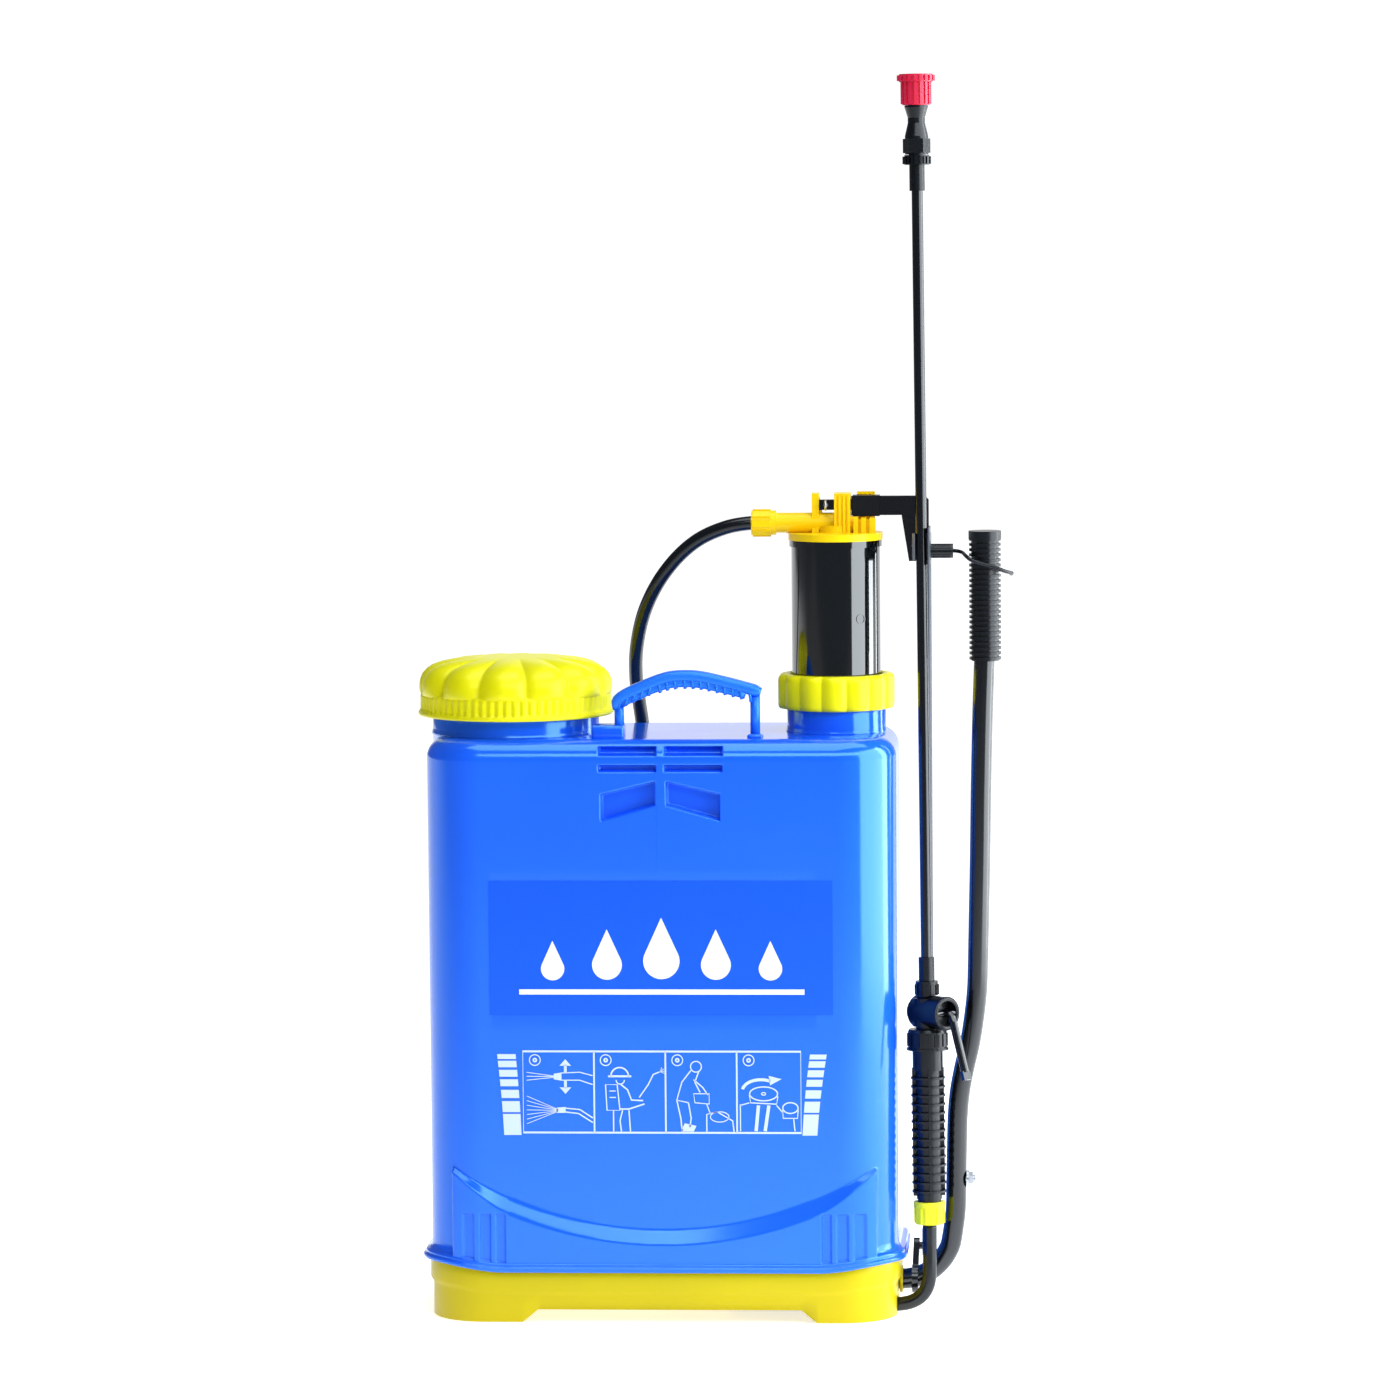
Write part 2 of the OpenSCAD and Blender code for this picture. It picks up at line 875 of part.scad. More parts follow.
module swirl_core() {
    color([0.85, 0.7, 0.3])
        on_gun()
            ring(6.4, 1, 876.2, 880);
}

module nozzle_cap() {
    color([0.86, 0.1, 0.28])
        on_gun()
            difference() {
                union() {
                    rod(10.6, 865.7, 884);
                    for (i = [0:15])
                        rotate([0, 0, i * 22.5])
                            box(9, 11.8, -1.1, 1.1, 866.5, 884);
                    rod(13, 883.5, 889.5);
                    for (i = [0:19])
                        rotate([0, 0, i * 18])
                            box(11, 14.6, -1.2, 1.2, 884.3, 888.6);
                }
                rod(6.56, 860, 880.3);
                rod(0.8, 870, 895, 24);
                translate([0, 0, 886.6])
                    cylinder(r1 = 2, r2 = 9, h = 3.2, $fn = 48);
            }
}

module front_label() {
    color([0.13, 0.33, 0.85])
        difference() {
            box(-131, 134, front - 0.3, front, 240, 344);
        }
}

module drop(x, z, s) {
    translate([x, front - 0.3, z])
        rotate([90, 0, 0])
            linear_extrude(0.2) {
                circle(s, $fn = 48);
                polygon([[-s * 0.94, s * 0.34], [0, s * 2.4], [s * 0.94, s * 0.34]]);
            }
}

module label_print() {
    color([0.95, 0.97, 1]) {
        for (i = [-2:2])
            drop(2 + i * 42, 282 - abs(i) * 3, 14 - abs(i) * 2.5);
        box(-108, 112, front - 0.5, front - 0.3, 256, 260);
    }
}

// thin flat print on the tank's front
module flat_print() {
    translate([0, front, 0])
        rotate([90, 0, 0])
            linear_extrude(0.25)
                children();
}

module strip_print() {
    color([0.95, 0.97, 1])
        flat_print() {
            difference() {
                translate([-106, 148])
                    square([214.8, 64]);
                for (x = [-105, -50.5, 5, 59.5])
                    translate([x, 149])
                        square([x > 50 ? 48.3 : 53.5, 62]);
            }
            for (m = [-114, 118], i = [0:6])
                translate([m - (i == 0 ? 8 : 7), i == 0 ? 147 : 163 + i * 7.4])
                    square([(i == 0 ? 16 : 14), (i == 0 ? 14 : 5)]);
        }
}

hose_pts = [[84, 0, 614], [66, 0, 613.6], [48, 2, 610], [28, 6, 601], [10, 12, 586], [-6, 20, 565],
    [-18, 34, 540], [-25, 52, 512], [-27, 72, 487], [-26, 88, 467], [-24, 97, 446], [-23, 99, 420],
    [-22, 94, 390], [-22, 86, 350], [-22, 80, 318], [-22, 80, 300.3]];
hose_pts_2 = [[-22, 80, 300], [-22, 80, 282], [-22, 79, 240], [-22, 79, 200], [-22, 80, 150], [-22, 84, 110],
    [-22, 92, 78], [-22, 98, 55], [-21, 96, 32], [-20, 84, 15], [-16, 66, 8.5], [-8, 46, 7], [6, 26, 6.8],
    [30, 6, 6.8], [60, -10, 6.8], [95, -22, 6.8], [130, -31, 6.8], [160, -36, 6.8], [182, -38.5, 7.4],
    [193, -39.9, 10], [200.5, -40.8, 15.5], [204.8, -41, 24], [206, -40.4, 36], [206, -39.1, 52],
    [206, -38, 70.6]];

module hose_upper() {
    color([0.06, 0.06, 0.07])
        swept(hose_pts, 5.5, 24);
}

module hose_lower() {
    color([0.06, 0.06, 0.07])
        swept(hose_pts_2, 5.5, 24);
}

// side profile of a strap drawn in the YZ plane and given width w about x
module strap_band(x, w, pts) {
    translate([x - w / 2, 0, 0])
        rotate([90, 0, 90])
            linear_extrude(w)
                polygon(pts);
}

module strap_bracket() {
    color([0.05, 0.05, 0.055])
        for (x = [-strap_x, strap_x])
            difference() {
                box(x - 24, x + 24, tank_d / 2, tank_d / 2 + 8, 428, 436);
                box(x - 16, x + 16, tank_d / 2 + 2.5, tank_d / 2 + 5.2, 420, 440);
            }
}

module shoulder_pads() {
    color([0.08, 0.08, 0.09])
        for (x = [-strap_x, strap_x])
            strap_band(x, 50, [[90, 414], [99, 405], [112, 372], [119, 330], [121, 290], [119, 250],
                [113, 214], [106, 214], [111, 250], [113, 290], [111, 330], [104, 368], [91, 399],
                [85, 408]]);
}

module upper_webbing() {
    color([0.1, 0.1, 0.11])
        for (x = [-strap_x, strap_x])
            strap_band(x, 30, [[86, 438], [87.8, 438], [88, 426], [90, 414], [85, 408], [86.2, 420],
                [86, 426]]);
}

module lower_webbing() {
    color([0.1, 0.1, 0.11])
        for (x = [-strap_x, strap_x])
            strap_band(x, 28, [[109, 214], [110.8, 214], [106, 160], [101, 110], [97, 70], [94.4, 36],
                [92.8, 36], [95, 70], [99, 110], [104, 160]]);
}

module strap_buckles() {
    color([0.05, 0.05, 0.055])
        for (x = [-strap_x, strap_x])
            difference() {
                translate([x, 106, 178])
                    rotate([-5, 0, 0])
                        box(-19, 19, -4, 4, -12, 12);
                strap_band(x, 28.4, [[108.8, 214], [111, 214], [106.2, 160], [101, 110], [98.8, 110],
                    [103.8, 160]]);
            }
}

place() tank();
place() base();
place() base_screws();
place() carry_handle();
place() filler_cap();
place() cap_gasket();
place() strainer();
place() pump_collar();
place() collar_bush();
place() pump_barrel();
place() foot_valve_ball();
place() foot_strainer();
place() air_chamber();
place() plunger_tube();
place() piston();
place() piston_cup();
place() outlet_ball();
place() pump_head();
place() head_seal();
place() outlet_nut();
place() rocker_arm();
place() arm_sleeve();
place() cotter_pin();
place() link_rod();
place() rod_bolt();
place() lever_tube();
place() crank_arm();
place() pin_clip();
place() lever_grip();
place() lever_screw();
place() lance_clip();
place() clip_knob();
place() retaining_hook();
place() gun_nut();
place() gun_grip();
place() gun_collar();
place() valve_body();
place() valve_pin();
place() trigger();
place() union_nut();
place() lance_tube();
place() lance_sleeve();
place() nozzle_nut();
place() nozzle_body();
place() swirl_core();
place() nozzle_cap();
place() front_label();
place() label_print();
place() strip_print();
place() hose_upper();
place() hose_lower();
place() strap_bracket();
place() shoulder_pads();
place() upper_webbing();
place() lower_webbing();
place() strap_buckles();
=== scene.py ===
import json
import math

import bmesh
import bpy
from mathutils import Matrix, Vector


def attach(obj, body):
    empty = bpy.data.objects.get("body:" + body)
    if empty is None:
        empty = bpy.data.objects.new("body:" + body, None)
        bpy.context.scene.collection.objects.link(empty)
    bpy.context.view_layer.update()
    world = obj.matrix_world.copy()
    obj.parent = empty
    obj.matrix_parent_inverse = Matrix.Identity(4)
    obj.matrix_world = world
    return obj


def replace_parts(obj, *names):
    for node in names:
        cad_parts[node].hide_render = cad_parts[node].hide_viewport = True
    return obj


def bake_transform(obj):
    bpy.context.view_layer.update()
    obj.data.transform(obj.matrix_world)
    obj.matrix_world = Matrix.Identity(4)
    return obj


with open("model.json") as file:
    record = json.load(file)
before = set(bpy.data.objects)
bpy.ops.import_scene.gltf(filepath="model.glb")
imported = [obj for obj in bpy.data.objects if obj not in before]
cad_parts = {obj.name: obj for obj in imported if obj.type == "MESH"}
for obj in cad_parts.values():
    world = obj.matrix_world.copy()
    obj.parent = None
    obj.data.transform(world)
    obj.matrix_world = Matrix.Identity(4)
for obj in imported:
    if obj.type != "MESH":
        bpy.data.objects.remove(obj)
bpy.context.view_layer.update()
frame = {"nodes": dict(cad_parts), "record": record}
N = frame["nodes"]

# The CAD source is drawn about the tank's middle: this brings its millimetres into the row frame.
OX, OY = 40.2, 15.5
# Places that several pieces share, in the CAD source's millimetres.
FILLER_X, PUMP_X = -116, 134.5
HANDLE_Y, LEVER_Y, STRAP_X = -53, -20, 80


def P(x, y, z):
    return Vector(((x - OX) / 1000, (y - OY) / 1000, z / 1000))


# ---------------------------------------------------------------- camera
AZ, DIST, HIGH = math.radians(4.0), 5000, 930
cam_data = bpy.data.cameras.new("camera")
cam_data.sensor_width = 36
cam_data.lens = 165.65
cam_data.shift_x = 0.0257
cam_data.clip_start, cam_data.clip_end = 0.1, 60
cam = bpy.data.objects.new("camera", cam_data)
bpy.context.scene.collection.objects.link(cam)
bpy.context.scene.camera = cam
cam.location = P(DIST * math.sin(AZ), -DIST * math.cos(AZ), HIGH)
down = math.radians(5.17)
ahead = Vector((-math.sin(AZ) * math.cos(down), math.cos(AZ) * math.cos(down), -math.sin(down)))
cam.rotation_mode = "QUATERNION"
roll = Matrix.Rotation(math.radians(-0.5), 3, "Z").to_quaternion()
cam.rotation_quaternion = ahead.to_track_quat("-Z", "Y") @ roll


# ---------------------------------------------------------------- materials
def material(name, color, rough=0.4, metal=0.0, coat=0.0, bump=0.0, grain=400.0, sheen=0.0, sub=0.0,
             gloss=0.5, tint=None, weave=0.0):
    """A procedural finish: colour, roughness and a fine bump drift with noise in the object's own space."""
    m = bpy.data.materials.new(name)
    m.use_nodes = True
    t = m.node_tree
    b = t.nodes["Principled BSDF"]
    b.inputs["Metallic"].default_value = metal
    b.inputs["Coat Weight"].default_value = coat
    b.inputs["Coat Roughness"].default_value = 0.08
    b.inputs["Specular IOR Level"].default_value = gloss
    if tint:
        b.inputs["Specular Tint"].default_value = (*tint, 1)
    if sheen:
        b.inputs["Sheen Weight"].default_value = sheen
        b.inputs["Sheen Roughness"].default_value = 0.5
    if sub:
        b.inputs["Subsurface Weight"].default_value = sub
        b.inputs["Subsurface Radius"].default_value = (0.004, 0.008, 0.02)
        b.inputs["Subsurface Scale"].default_value = 1.0
    at = t.nodes.new("ShaderNodeTexCoord")
    mapping = t.nodes.new("ShaderNodeMapping")
    t.links.new(at.outputs["Object"], mapping.inputs["Vector"])
    noise = t.nodes.new("ShaderNodeTexNoise")
    noise.inputs["Scale"].default_value = 9.0
    noise.inputs["Detail"].default_value = 6.0
    t.links.new(mapping.outputs["Vector"], noise.inputs["Vector"])
    drift = t.nodes.new("ShaderNodeMapRange")
    drift.inputs["To Min"].default_value = max(0.02, rough - 0.06)
    drift.inputs["To Max"].default_value = min(1.0, rough + 0.08)
    t.links.new(noise.outputs["Fac"], drift.inputs["Value"])
    t.links.new(drift.outputs["Result"], b.inputs["Roughness"])
    mix = t.nodes.new("ShaderNodeMix")
    mix.data_type = "RGBA"
    mix.inputs["A"].default_value = (*(c * 0.9 for c in color), 1)
    mix.inputs["B"].default_value = (*(min(1, c * 1.06) for c in color), 1)
    t.links.new(noise.outputs["Fac"], mix.inputs["Factor"])
    t.links.new(mix.outputs["Result"], b.inputs["Base Color"])
    if bump:
        fine = t.nodes.new("ShaderNodeTexNoise")
        fine.inputs["Scale"].default_value = grain
        fine.inputs["Detail"].default_value = 3.0
        t.links.new(mapping.outputs["Vector"], fine.inputs["Vector"])
        bm = t.nodes.new("ShaderNodeBump")
        bm.inputs["Strength"].default_value = bump
        bm.inputs["Distance"].default_value = 0.0004
        height = fine.outputs["Fac"]
        for axis in "XZ" if weave else "":
            wave = t.nodes.new("ShaderNodeTexWave")
            wave.bands_direction = axis
            wave.inputs["Scale"].default_value = 0.314 / weave
            wave.inputs["Distortion"].default_value = 0.6
            t.links.new(mapping.outputs["Vector"], wave.inputs["Vector"])
            add = t.nodes.new("ShaderNodeMath")
            t.links.new(height, add.inputs[0])
            t.links.new(wave.outputs["Fac"], add.inputs[1])
            height = add.outputs["Value"]
        t.links.new(height, bm.inputs["Height"])
        t.links.new(bm.outputs["Normal"], b.inputs["Normal"])
    return m


def lin(*rgb):
    """sRGB 0-255 to linear."""
    shares = [c / 255 for c in rgb]
    return tuple(c / 12.92 if c <= 0.04045 else ((c + 0.055) / 1.055) ** 2.4 for c in shares)


# The plastics' reflections lean towards their own colour.
CYAN, GOLD = (0.3, 0.9, 1.0), (1.0, 0.92, 0.4)
M = {
    "tank_blue": material("m_tank", lin(26, 96, 250), 0.14, coat=0.2, bump=0.04, grain=60, sub=0.03,
                          gloss=1.0, tint=CYAN),
    "base_yellow": material("m_base", lin(206, 186, 0), 0.3, bump=0.05, grain=300, gloss=0.5, tint=GOLD),
    "handle_blue": material("m_handle", lin(34, 112, 246), 0.3, bump=0.05, grain=300, sub=0.2, gloss=0.8,
                            tint=CYAN),
    "cap_yellow": material("m_cap", lin(240, 232, 4), 0.34, bump=0.05, grain=300, sub=0.05, gloss=0.6,
                           tint=GOLD),
    "head_yellow": material("m_head", lin(250, 206, 4), 0.34, bump=0.05, grain=300, gloss=0.5, tint=GOLD),
    "nut_yellow": material("m_nut", lin(236, 238, 44), 0.36, bump=0.06, grain=300, sub=0.1, gloss=0.5,
                           tint=GOLD),
    "chamber_black": material("m_chamber", lin(3, 5, 7), 0.05, coat=0.4, bump=0.02, grain=60, gloss=1.0),
    "black_plastic": material("m_plastic", lin(5, 8, 13), 0.26, bump=0.08, grain=700, gloss=0.45),
    "grip_black": material("m_grip", lin(6, 9, 15), 0.28, bump=0.1, grain=700, gloss=0.45),
    "natural_plastic": material("m_natural", lin(215, 220, 224), 0.4, bump=0.05, sub=0.1),
    "label_blue": material("m_label", lin(16, 80, 244), 0.2, bump=0.02, grain=500, gloss=0.9, tint=CYAN),
    "print_white": material("m_print", lin(244, 248, 255), 0.45, bump=0.03, grain=900),
    "nozzle_red": material("m_nozzle", lin(214, 30, 66), 0.34, coat=0.1, bump=0.06, grain=500, sub=0.08),
    "black_rubber": material("m_rubber", lin(20, 20, 22), 0.65, bump=0.12, grain=800),
    "hose_black": material("m_hose", lin(5, 8, 13), 0.22, bump=0.05, grain=500, gloss=0.5),
    "leather_cup": material("m_leather", lin(110, 70, 40), 0.6, bump=0.3, grain=900),
    "black_metal": material("m_black_metal", lin(4, 6, 12), 0.16, coat=0.2, bump=0.03, grain=250, gloss=0.7),
    "dark_steel": material("m_dark_steel", lin(70, 74, 82), 0.34, metal=0.7, bump=0.05, grain=300),
    "grey_steel": material("m_grey_steel", lin(120, 124, 132), 0.38, metal=0.8, bump=0.06, grain=500),
    "bright_steel": material("m_bright_steel", lin(190, 192, 196), 0.28, metal=1.0, bump=0.05, grain=500),
    "brass_core": material("m_brass", lin(206, 170, 90), 0.3, metal=1.0, bump=0.04, grain=500),
    "pad_fabric": material("m_pad", lin(34, 35, 39), 0.85, bump=0.6, grain=1500, sheen=0.3, weave=0.0022),
    "webbing_black": material("m_webbing", lin(24, 25, 28), 0.8, bump=0.6, grain=1800, sheen=0.3,
                              weave=0.0013),
}
for part in frame["record"]["subparts"]:
    o = N[part["node"]]
    o.data.materials.clear()
    o.data.materials.append(M[part["material_slot"]])


# ---------------------------------------------------------------- mesh helpers
def new_object(name, verts, faces, slot_name, smooth=True, body="frame"):
    me = bpy.data.meshes.new(name)
    me.from_pydata([tuple(v) for v in verts], [], faces)
    me.validate()
    me.update()
    bm = bmesh.new()
    bm.from_mesh(me)
    bmesh.ops.recalc_face_normals(bm, faces=bm.faces)
    bm.to_mesh(me)
    bm.free()
    if smooth:
        me.shade_smooth()
    o = bpy.data.objects.new(name, me)
    bpy.context.scene.collection.objects.link(o)
    me.materials.append(M[slot_name])
    if body:
        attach(o, body)
    return o


class Build:
    """Gathers vertices and faces of one piece, in tank-centred millimetres."""

    def __init__(self):
        self.v, self.f = [], []

    def grid(self, rows, closed=True, cap0=False, cap1=False):
        base, n = len(self.v), len(rows[0])
        for row in rows:
            self.v.extend(P(*p) for p in row)
        for i in range(len(rows) - 1):
            for k in range(n if closed else n - 1):
                a, b = base + i * n + k, base + i * n + (k + 1) % n
                self.f.append((a, b, b + n, a + n))
        if cap0:
            self.f.append(tuple(base + k for k in range(n - 1, -1, -1)))
        if cap1:
            self.f.append(tuple(base + (len(rows) - 1) * n + k for k in range(n)))
        return self

    def lathe(self, profile, cx, cy=0.0, n=96, cap0=False, cap1=False, shape=None):
        rows = []
        for r, z in profile:
            row = []
            for k in range(n):
                a = 2 * math.pi * k / n
                q, h = (r, z) if shape is None else shape(a, r, z)
                row.append((cx + q * math.sin(a), cy - q * math.cos(a), h))
            rows.append(row)
        return self.grid(rows, True, cap0, cap1)

    def tube(self, path, r, n=16, cap=True):
        """Round tube along the path; r is a number or one radius for each point."""
        pts = [Vector(p) for p in path]
        rows, up = [], Vector((0.31, 0.9, 0.3))
        for i, p in enumerate(pts):
            d = (pts[min(i + 1, len(pts) - 1)] - pts[max(i - 1, 0)]).normalized()
            s = d.cross(up).normalized()
            up = s.cross(d).normalized()
            q = r[i] if isinstance(r, (list, tuple)) else r
            turn = [2 * math.pi * k / n for k in range(n)]
            rows.append([tuple(p + q * (math.cos(a) * s + math.sin(a) * up)) for a in turn])
        return self.grid(rows, True, cap, cap)

    def bar(self, path, half_w, half_t, side=(0, 1, 0), power=5.0, n=28, cap=True):
        """Rounded bar along the path: half_w along side, half_t across it."""
        pts = [Vector(p) for p in path]
        side = Vector(side).normalized()
        rows = []
        for i, p in enumerate(pts):
            d = (pts[min(i + 1, len(pts) - 1)] - pts[max(i - 1, 0)]).normalized()
            up = side.cross(d).normalized()
            w = half_w[i] if isinstance(half_w, (list, tuple)) else half_w
            t = half_t[i] if isinstance(half_t, (list, tuple)) else half_t
            row = []
            for k in range(n):
                a = 2 * math.pi * k / n
                c, s = math.cos(a), math.sin(a)
                q = (abs(c) ** power + abs(s) ** power) ** (-1 / power)
                row.append(tuple(p + side * (w * q * c) + up * (t * q * s)))
            rows.append(row)
        return self.grid(rows, True, cap, cap)

    def block(self, x0, x1, y0, y1, z0, z1, r=0.8):
        """Box with rounded edges."""
        rows = []
        e = r * 0.3
        levels = ((z0, r), (z0 + e, e), (z0 + r, 0), (z1 - r, 0), (z1 - e, e), (z1, r))
        for z, g in levels:
            row = []
            for sx, sy in ((1, 1), (-1, 1), (-1, -1), (1, -1)):
                cx = (x1 - r if sx > 0 else x0 + r)
                cy = (y1 - r if sy > 0 else y0 + r)
                start = {(1, 1): 0, (-1, 1): 90, (-1, -1): 180, (1, -1): 270}[(sx, sy)]
                for a in range(0, 91, 30):
                    t = math.radians(start + a)
                    row.append((cx + (r - g) * math.cos(t), cy + (r - g) * math.sin(t), z))
            rows.append(row)
        return self.grid(rows, True, True, True)

    def make(self, name, slot_name, body="frame", smooth=True):
        return new_object(name, self.v, self.f, slot_name, smooth, body)


def smooth_path(points, step=2.0):
    """Catmull-Rom curve through the points, sampled about every step millimetres."""
    pts = [Vector(p) for p in points]
    pts = [2 * pts[0] - pts[1]] + pts + [2 * pts[-1] - pts[-2]]
    out = []
    for i in range(1, len(pts) - 2):
        a, b, c, d = pts[i - 1:i + 3]
        n = max(2, int((c - b).length / step))
        for k in range(n):
            t = k / n
            out.append(0.5 * (2 * b + (c - a) * t + (2 * a - 5 * b + 4 * c - d) * t * t
                              + (3 * b - a - 3 * c + d) * t ** 3))
    out.append(pts[-2])
    return out


def soft(t):
    t = min(1.0, max(0.0, t))
    return t * t * (3 - 2 * t)


# ---------------------------------------------------------------- tank
TW, TD, TR, TOP, SHOULDER = 364.0, 166.0, 44.0, 452.0, 16.0
FLAT_X, FLAT_Y, ARC = TW / 2 - TR, TD / 2 - TR, TR * math.pi / 2
LENGTH = 4 * (FLAT_X + FLAT_Y + ARC)


def outline(u):
    """Point and outward normal u millimetres round the tank, from its front's middle towards the lever."""
    u %= LENGTH
    legs = [(FLAT_X, False), (ARC, True), (2 * FLAT_Y, False), (ARC, True), (2 * FLAT_X, False), (ARC, True),
            (2 * FLAT_Y, False), (ARC, True), (FLAT_X, False)]
    x, y, turn = 0.0, -TD / 2, 0
    for leg, corner in legs:
        step = min(u, leg)
        heading = turn * math.pi / 2
        if not corner:
            x, y = x + step * math.cos(heading), y + step * math.sin(heading)
            normal = (math.sin(heading), -math.cos(heading))
        else:
            cx, cy = x - TR * math.sin(heading), y + TR * math.cos(heading)
            a = heading + step / TR
            x, y = cx + TR * math.sin(a), cy - TR * math.cos(a)
            normal = (math.sin(a), -math.cos(a))
            if step == leg:
                turn += 1
        u -= step
        if u <= 1e-9:
            break
    return x, y, normal[0], normal[1]


# Height and outward reach of the tank's bottom rim.
RIM = [(40, 6.0), (40.5, 6.7), (41.2, 7), (42.5, 7), (43.2, 6.5), (43.7, 5.5), (44.3, 5.0), (45.6, 5),
       (46.5, 4.6), (47.2, 3.6), (48.0, 2.2), (49.5, 1.0), (52, 0.3), (55, 0)]


def rim_depth(z):
    for (z0, d0), (z1, d1) in zip(RIM, RIM[1:]):
        if z <= z1:
            return d0 + (d1 - d0) * (z - z0) / (z1 - z0)
    return 0.0


def lift(x, z, foot=47, reach=26):
    """How far the seam between tank and base climbs towards the corners."""
    return 5.5 * soft((abs(x) - 122) / 52) * (1 - soft((z - foot) / reach))


def pocket(x, z, corners, depth, edge=1.1):
    """Depth of a pressed-in pocket with straight sides through the corners, listed counter-clockwise."""
    near = 1e9
    for (x0, z0), (x1, z1) in zip(corners, corners[1:] + corners[:1]):
        dx, dz = x1 - x0, z1 - z0
        near = min(near, (dx * (z - z0) - dz * (x - x0)) / math.hypot(dx, dz))
    return -depth * soft(near / edge) if near > 0 else 0.0


# Outline and depth of the pockets in the front, right half.
SLOTS = [([(3, 440), (48, 440), (48, 447.5), (3, 447.5)], 9),
         ([(3, 428), (48, 428), (48, 433.5), (3, 433.5)], 8),
         ([(4, 402), (46, 390), (46, 411), (4, 421)], 10)]
SKIRT = 4.5


def relief(x, y, ny, z):
    """How far the tank's wall stands out at a point, with ny the y of its normal there."""
    d = rim_depth(z)
    q = abs(x - 2)
    if ny < -0.05 or (y < 0 and ny < 0.3):
        # the skirt with its three grooves, the pockets, the label's recess and the mould line
        if q < 164:
            high = 377 - math.sqrt(304 ** 2 - min(q, 163.0) ** 2)
            band = 10.5 * soft((169 - q) / 46) + 1.2
            slope = min(1.0, max(0.0, (high - z) / band))
            skirt = SKIRT * slope * soft((164 - q) / 2.4)
            for a, b in ((122, 130), (133.5, 142.5), (146, 155)):
                if a - 1 < q < b + 1 and z < 87:
                    skirt -= 2.4 * soft((q - a) / 1.0) * soft((b - q) / 1.0) * soft((86 - z) / 1.2)
            d = max(d, skirt)
        if q < 50 and z > 385:
            for corners, depth in SLOTS:
                d += pocket(q, z, corners, depth)
        if ny < -0.9 and -131 < x < 122 and 235 < z < 345:
            d -= 0.3 * soft((x + 131) / 2) * soft((122 - x) / 2) * soft((z - 235) / 2) * soft((345 - z) / 2)
        if abs(x) < 2 and 346 < z < 402:
            d += 0.22 * math.exp(-(x / 0.55) ** 2) * soft((z - 346) / 4) * soft((402 - z) / 4)
    elif ny > 0.7:
        hollow = 461 - math.sqrt(400 ** 2 - min(abs(x), 399) ** 2)
        if hollow < 83:
            d += (hollow - 83) * soft((z - 60) / 9) * soft((426 - z) / 9) * soft((83 - hollow) / 3)
    return d


def spaced(start, stop, step):
    n = max(1, round((stop - start) / step))
    return [start + (stop - start) * i / n for i in range(n)]


half = (spaced(0, 52, 0.75) + spaced(52, 118, 3.3) + spaced(118, 168, 0.7) + spaced(168, 215, 3.0)
        + spaced(215, LENGTH / 2, 4.0))
columns = sorted(half + [LENGTH / 2] + [LENGTH - u for u in half[1:]])
levels = (spaced(40, 50, 0.4) + spaced(50, 60, 1.0) + spaced(60, 124, 0.8) + spaced(124, 384, 6)
          + spaced(384, 436, 0.75) + spaced(436, TOP, 0.5))
edge = [outline(u) for u in columns]
rows = []
for z in levels:
    rise = max(0.0, z - (TOP - SHOULDER))
    inset = SHOULDER - math.sqrt(max(0.0, SHOULDER ** 2 - rise ** 2))
    row = []
    for x, y, nx, ny in edge:
        out = relief(x, y, ny, z) - inset
        row.append((x + nx * out, y + ny * out, z + lift(x, z)))
    rows.append(row)
for inset in (16, 17.5, 20, 24):
    rows.append([(x - nx * inset, y - ny * inset, TOP) for x, y, nx, ny in edge])
shell = Build().grid(rows, True, True, True)
shell.lathe([(64.8, 436), (64.9, 451), (66.3, 451.8), (65.5, 453.2), (65, 456), (65, 475.4),
             (64.6, 476), (62.6, 476), (62, 475.4), (62, 440), (62, 424)], FILLER_X, n=160)
shell.lathe([(38.3, 438), (38.4, 450.8), (39.6, 451.8), (38.9, 453.4), (38.5, 456), (38.5, 475.6),
             (38.2, 476), (37.2, 476), (37, 475.4), (37, 440)], PUMP_X, n=128)
shell.block(-52, -27, -63, -43, 449, 462, 2.2)
shell.block(68, 80, -61, -45, 449, 455, 1.8)
tank = shell.make("tank_shell", "tank_blue")
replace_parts(tank, "tank")


# ---------------------------------------------------------------- base
def opening(v, low, high, ramp):
    """0 outside low..high, 1 inside, over sloping ends."""
    return min(1.0, max(0.0, min(v - low, high - v) / ramp))


def foot(x, y):
    """Height of the base's lower edge: arches between the feet and two notches for the hose."""
    along = 10 * opening(x, -108, 120, 12) if abs(y) > 70 else 0
    across = 6 * opening(y, -34, 52, 6) if abs(x) > 170 else 0
    notch = 22 * opening(x, -36.3, -5.7, 0.3) if y > 70 else 0
    hole = 14.5 * opening(y, -46.3, -27.7, 0.3) if x > 165 else 0
    return max(along, across, notch, hole)


# Outward reach and height of the base's profile, from inside and below to its top.
BANDS = [(-4, 36), (-4, 0), (-1.3, 0), (-0.8, 0.6), (-0.8, 20.6), (-0.5, 21.4), (1.0, 23.6), (1.5, 24.6),
         (1.5, 38.6), (1.2, 39.6), (0.4, 40), (-14, 40)]
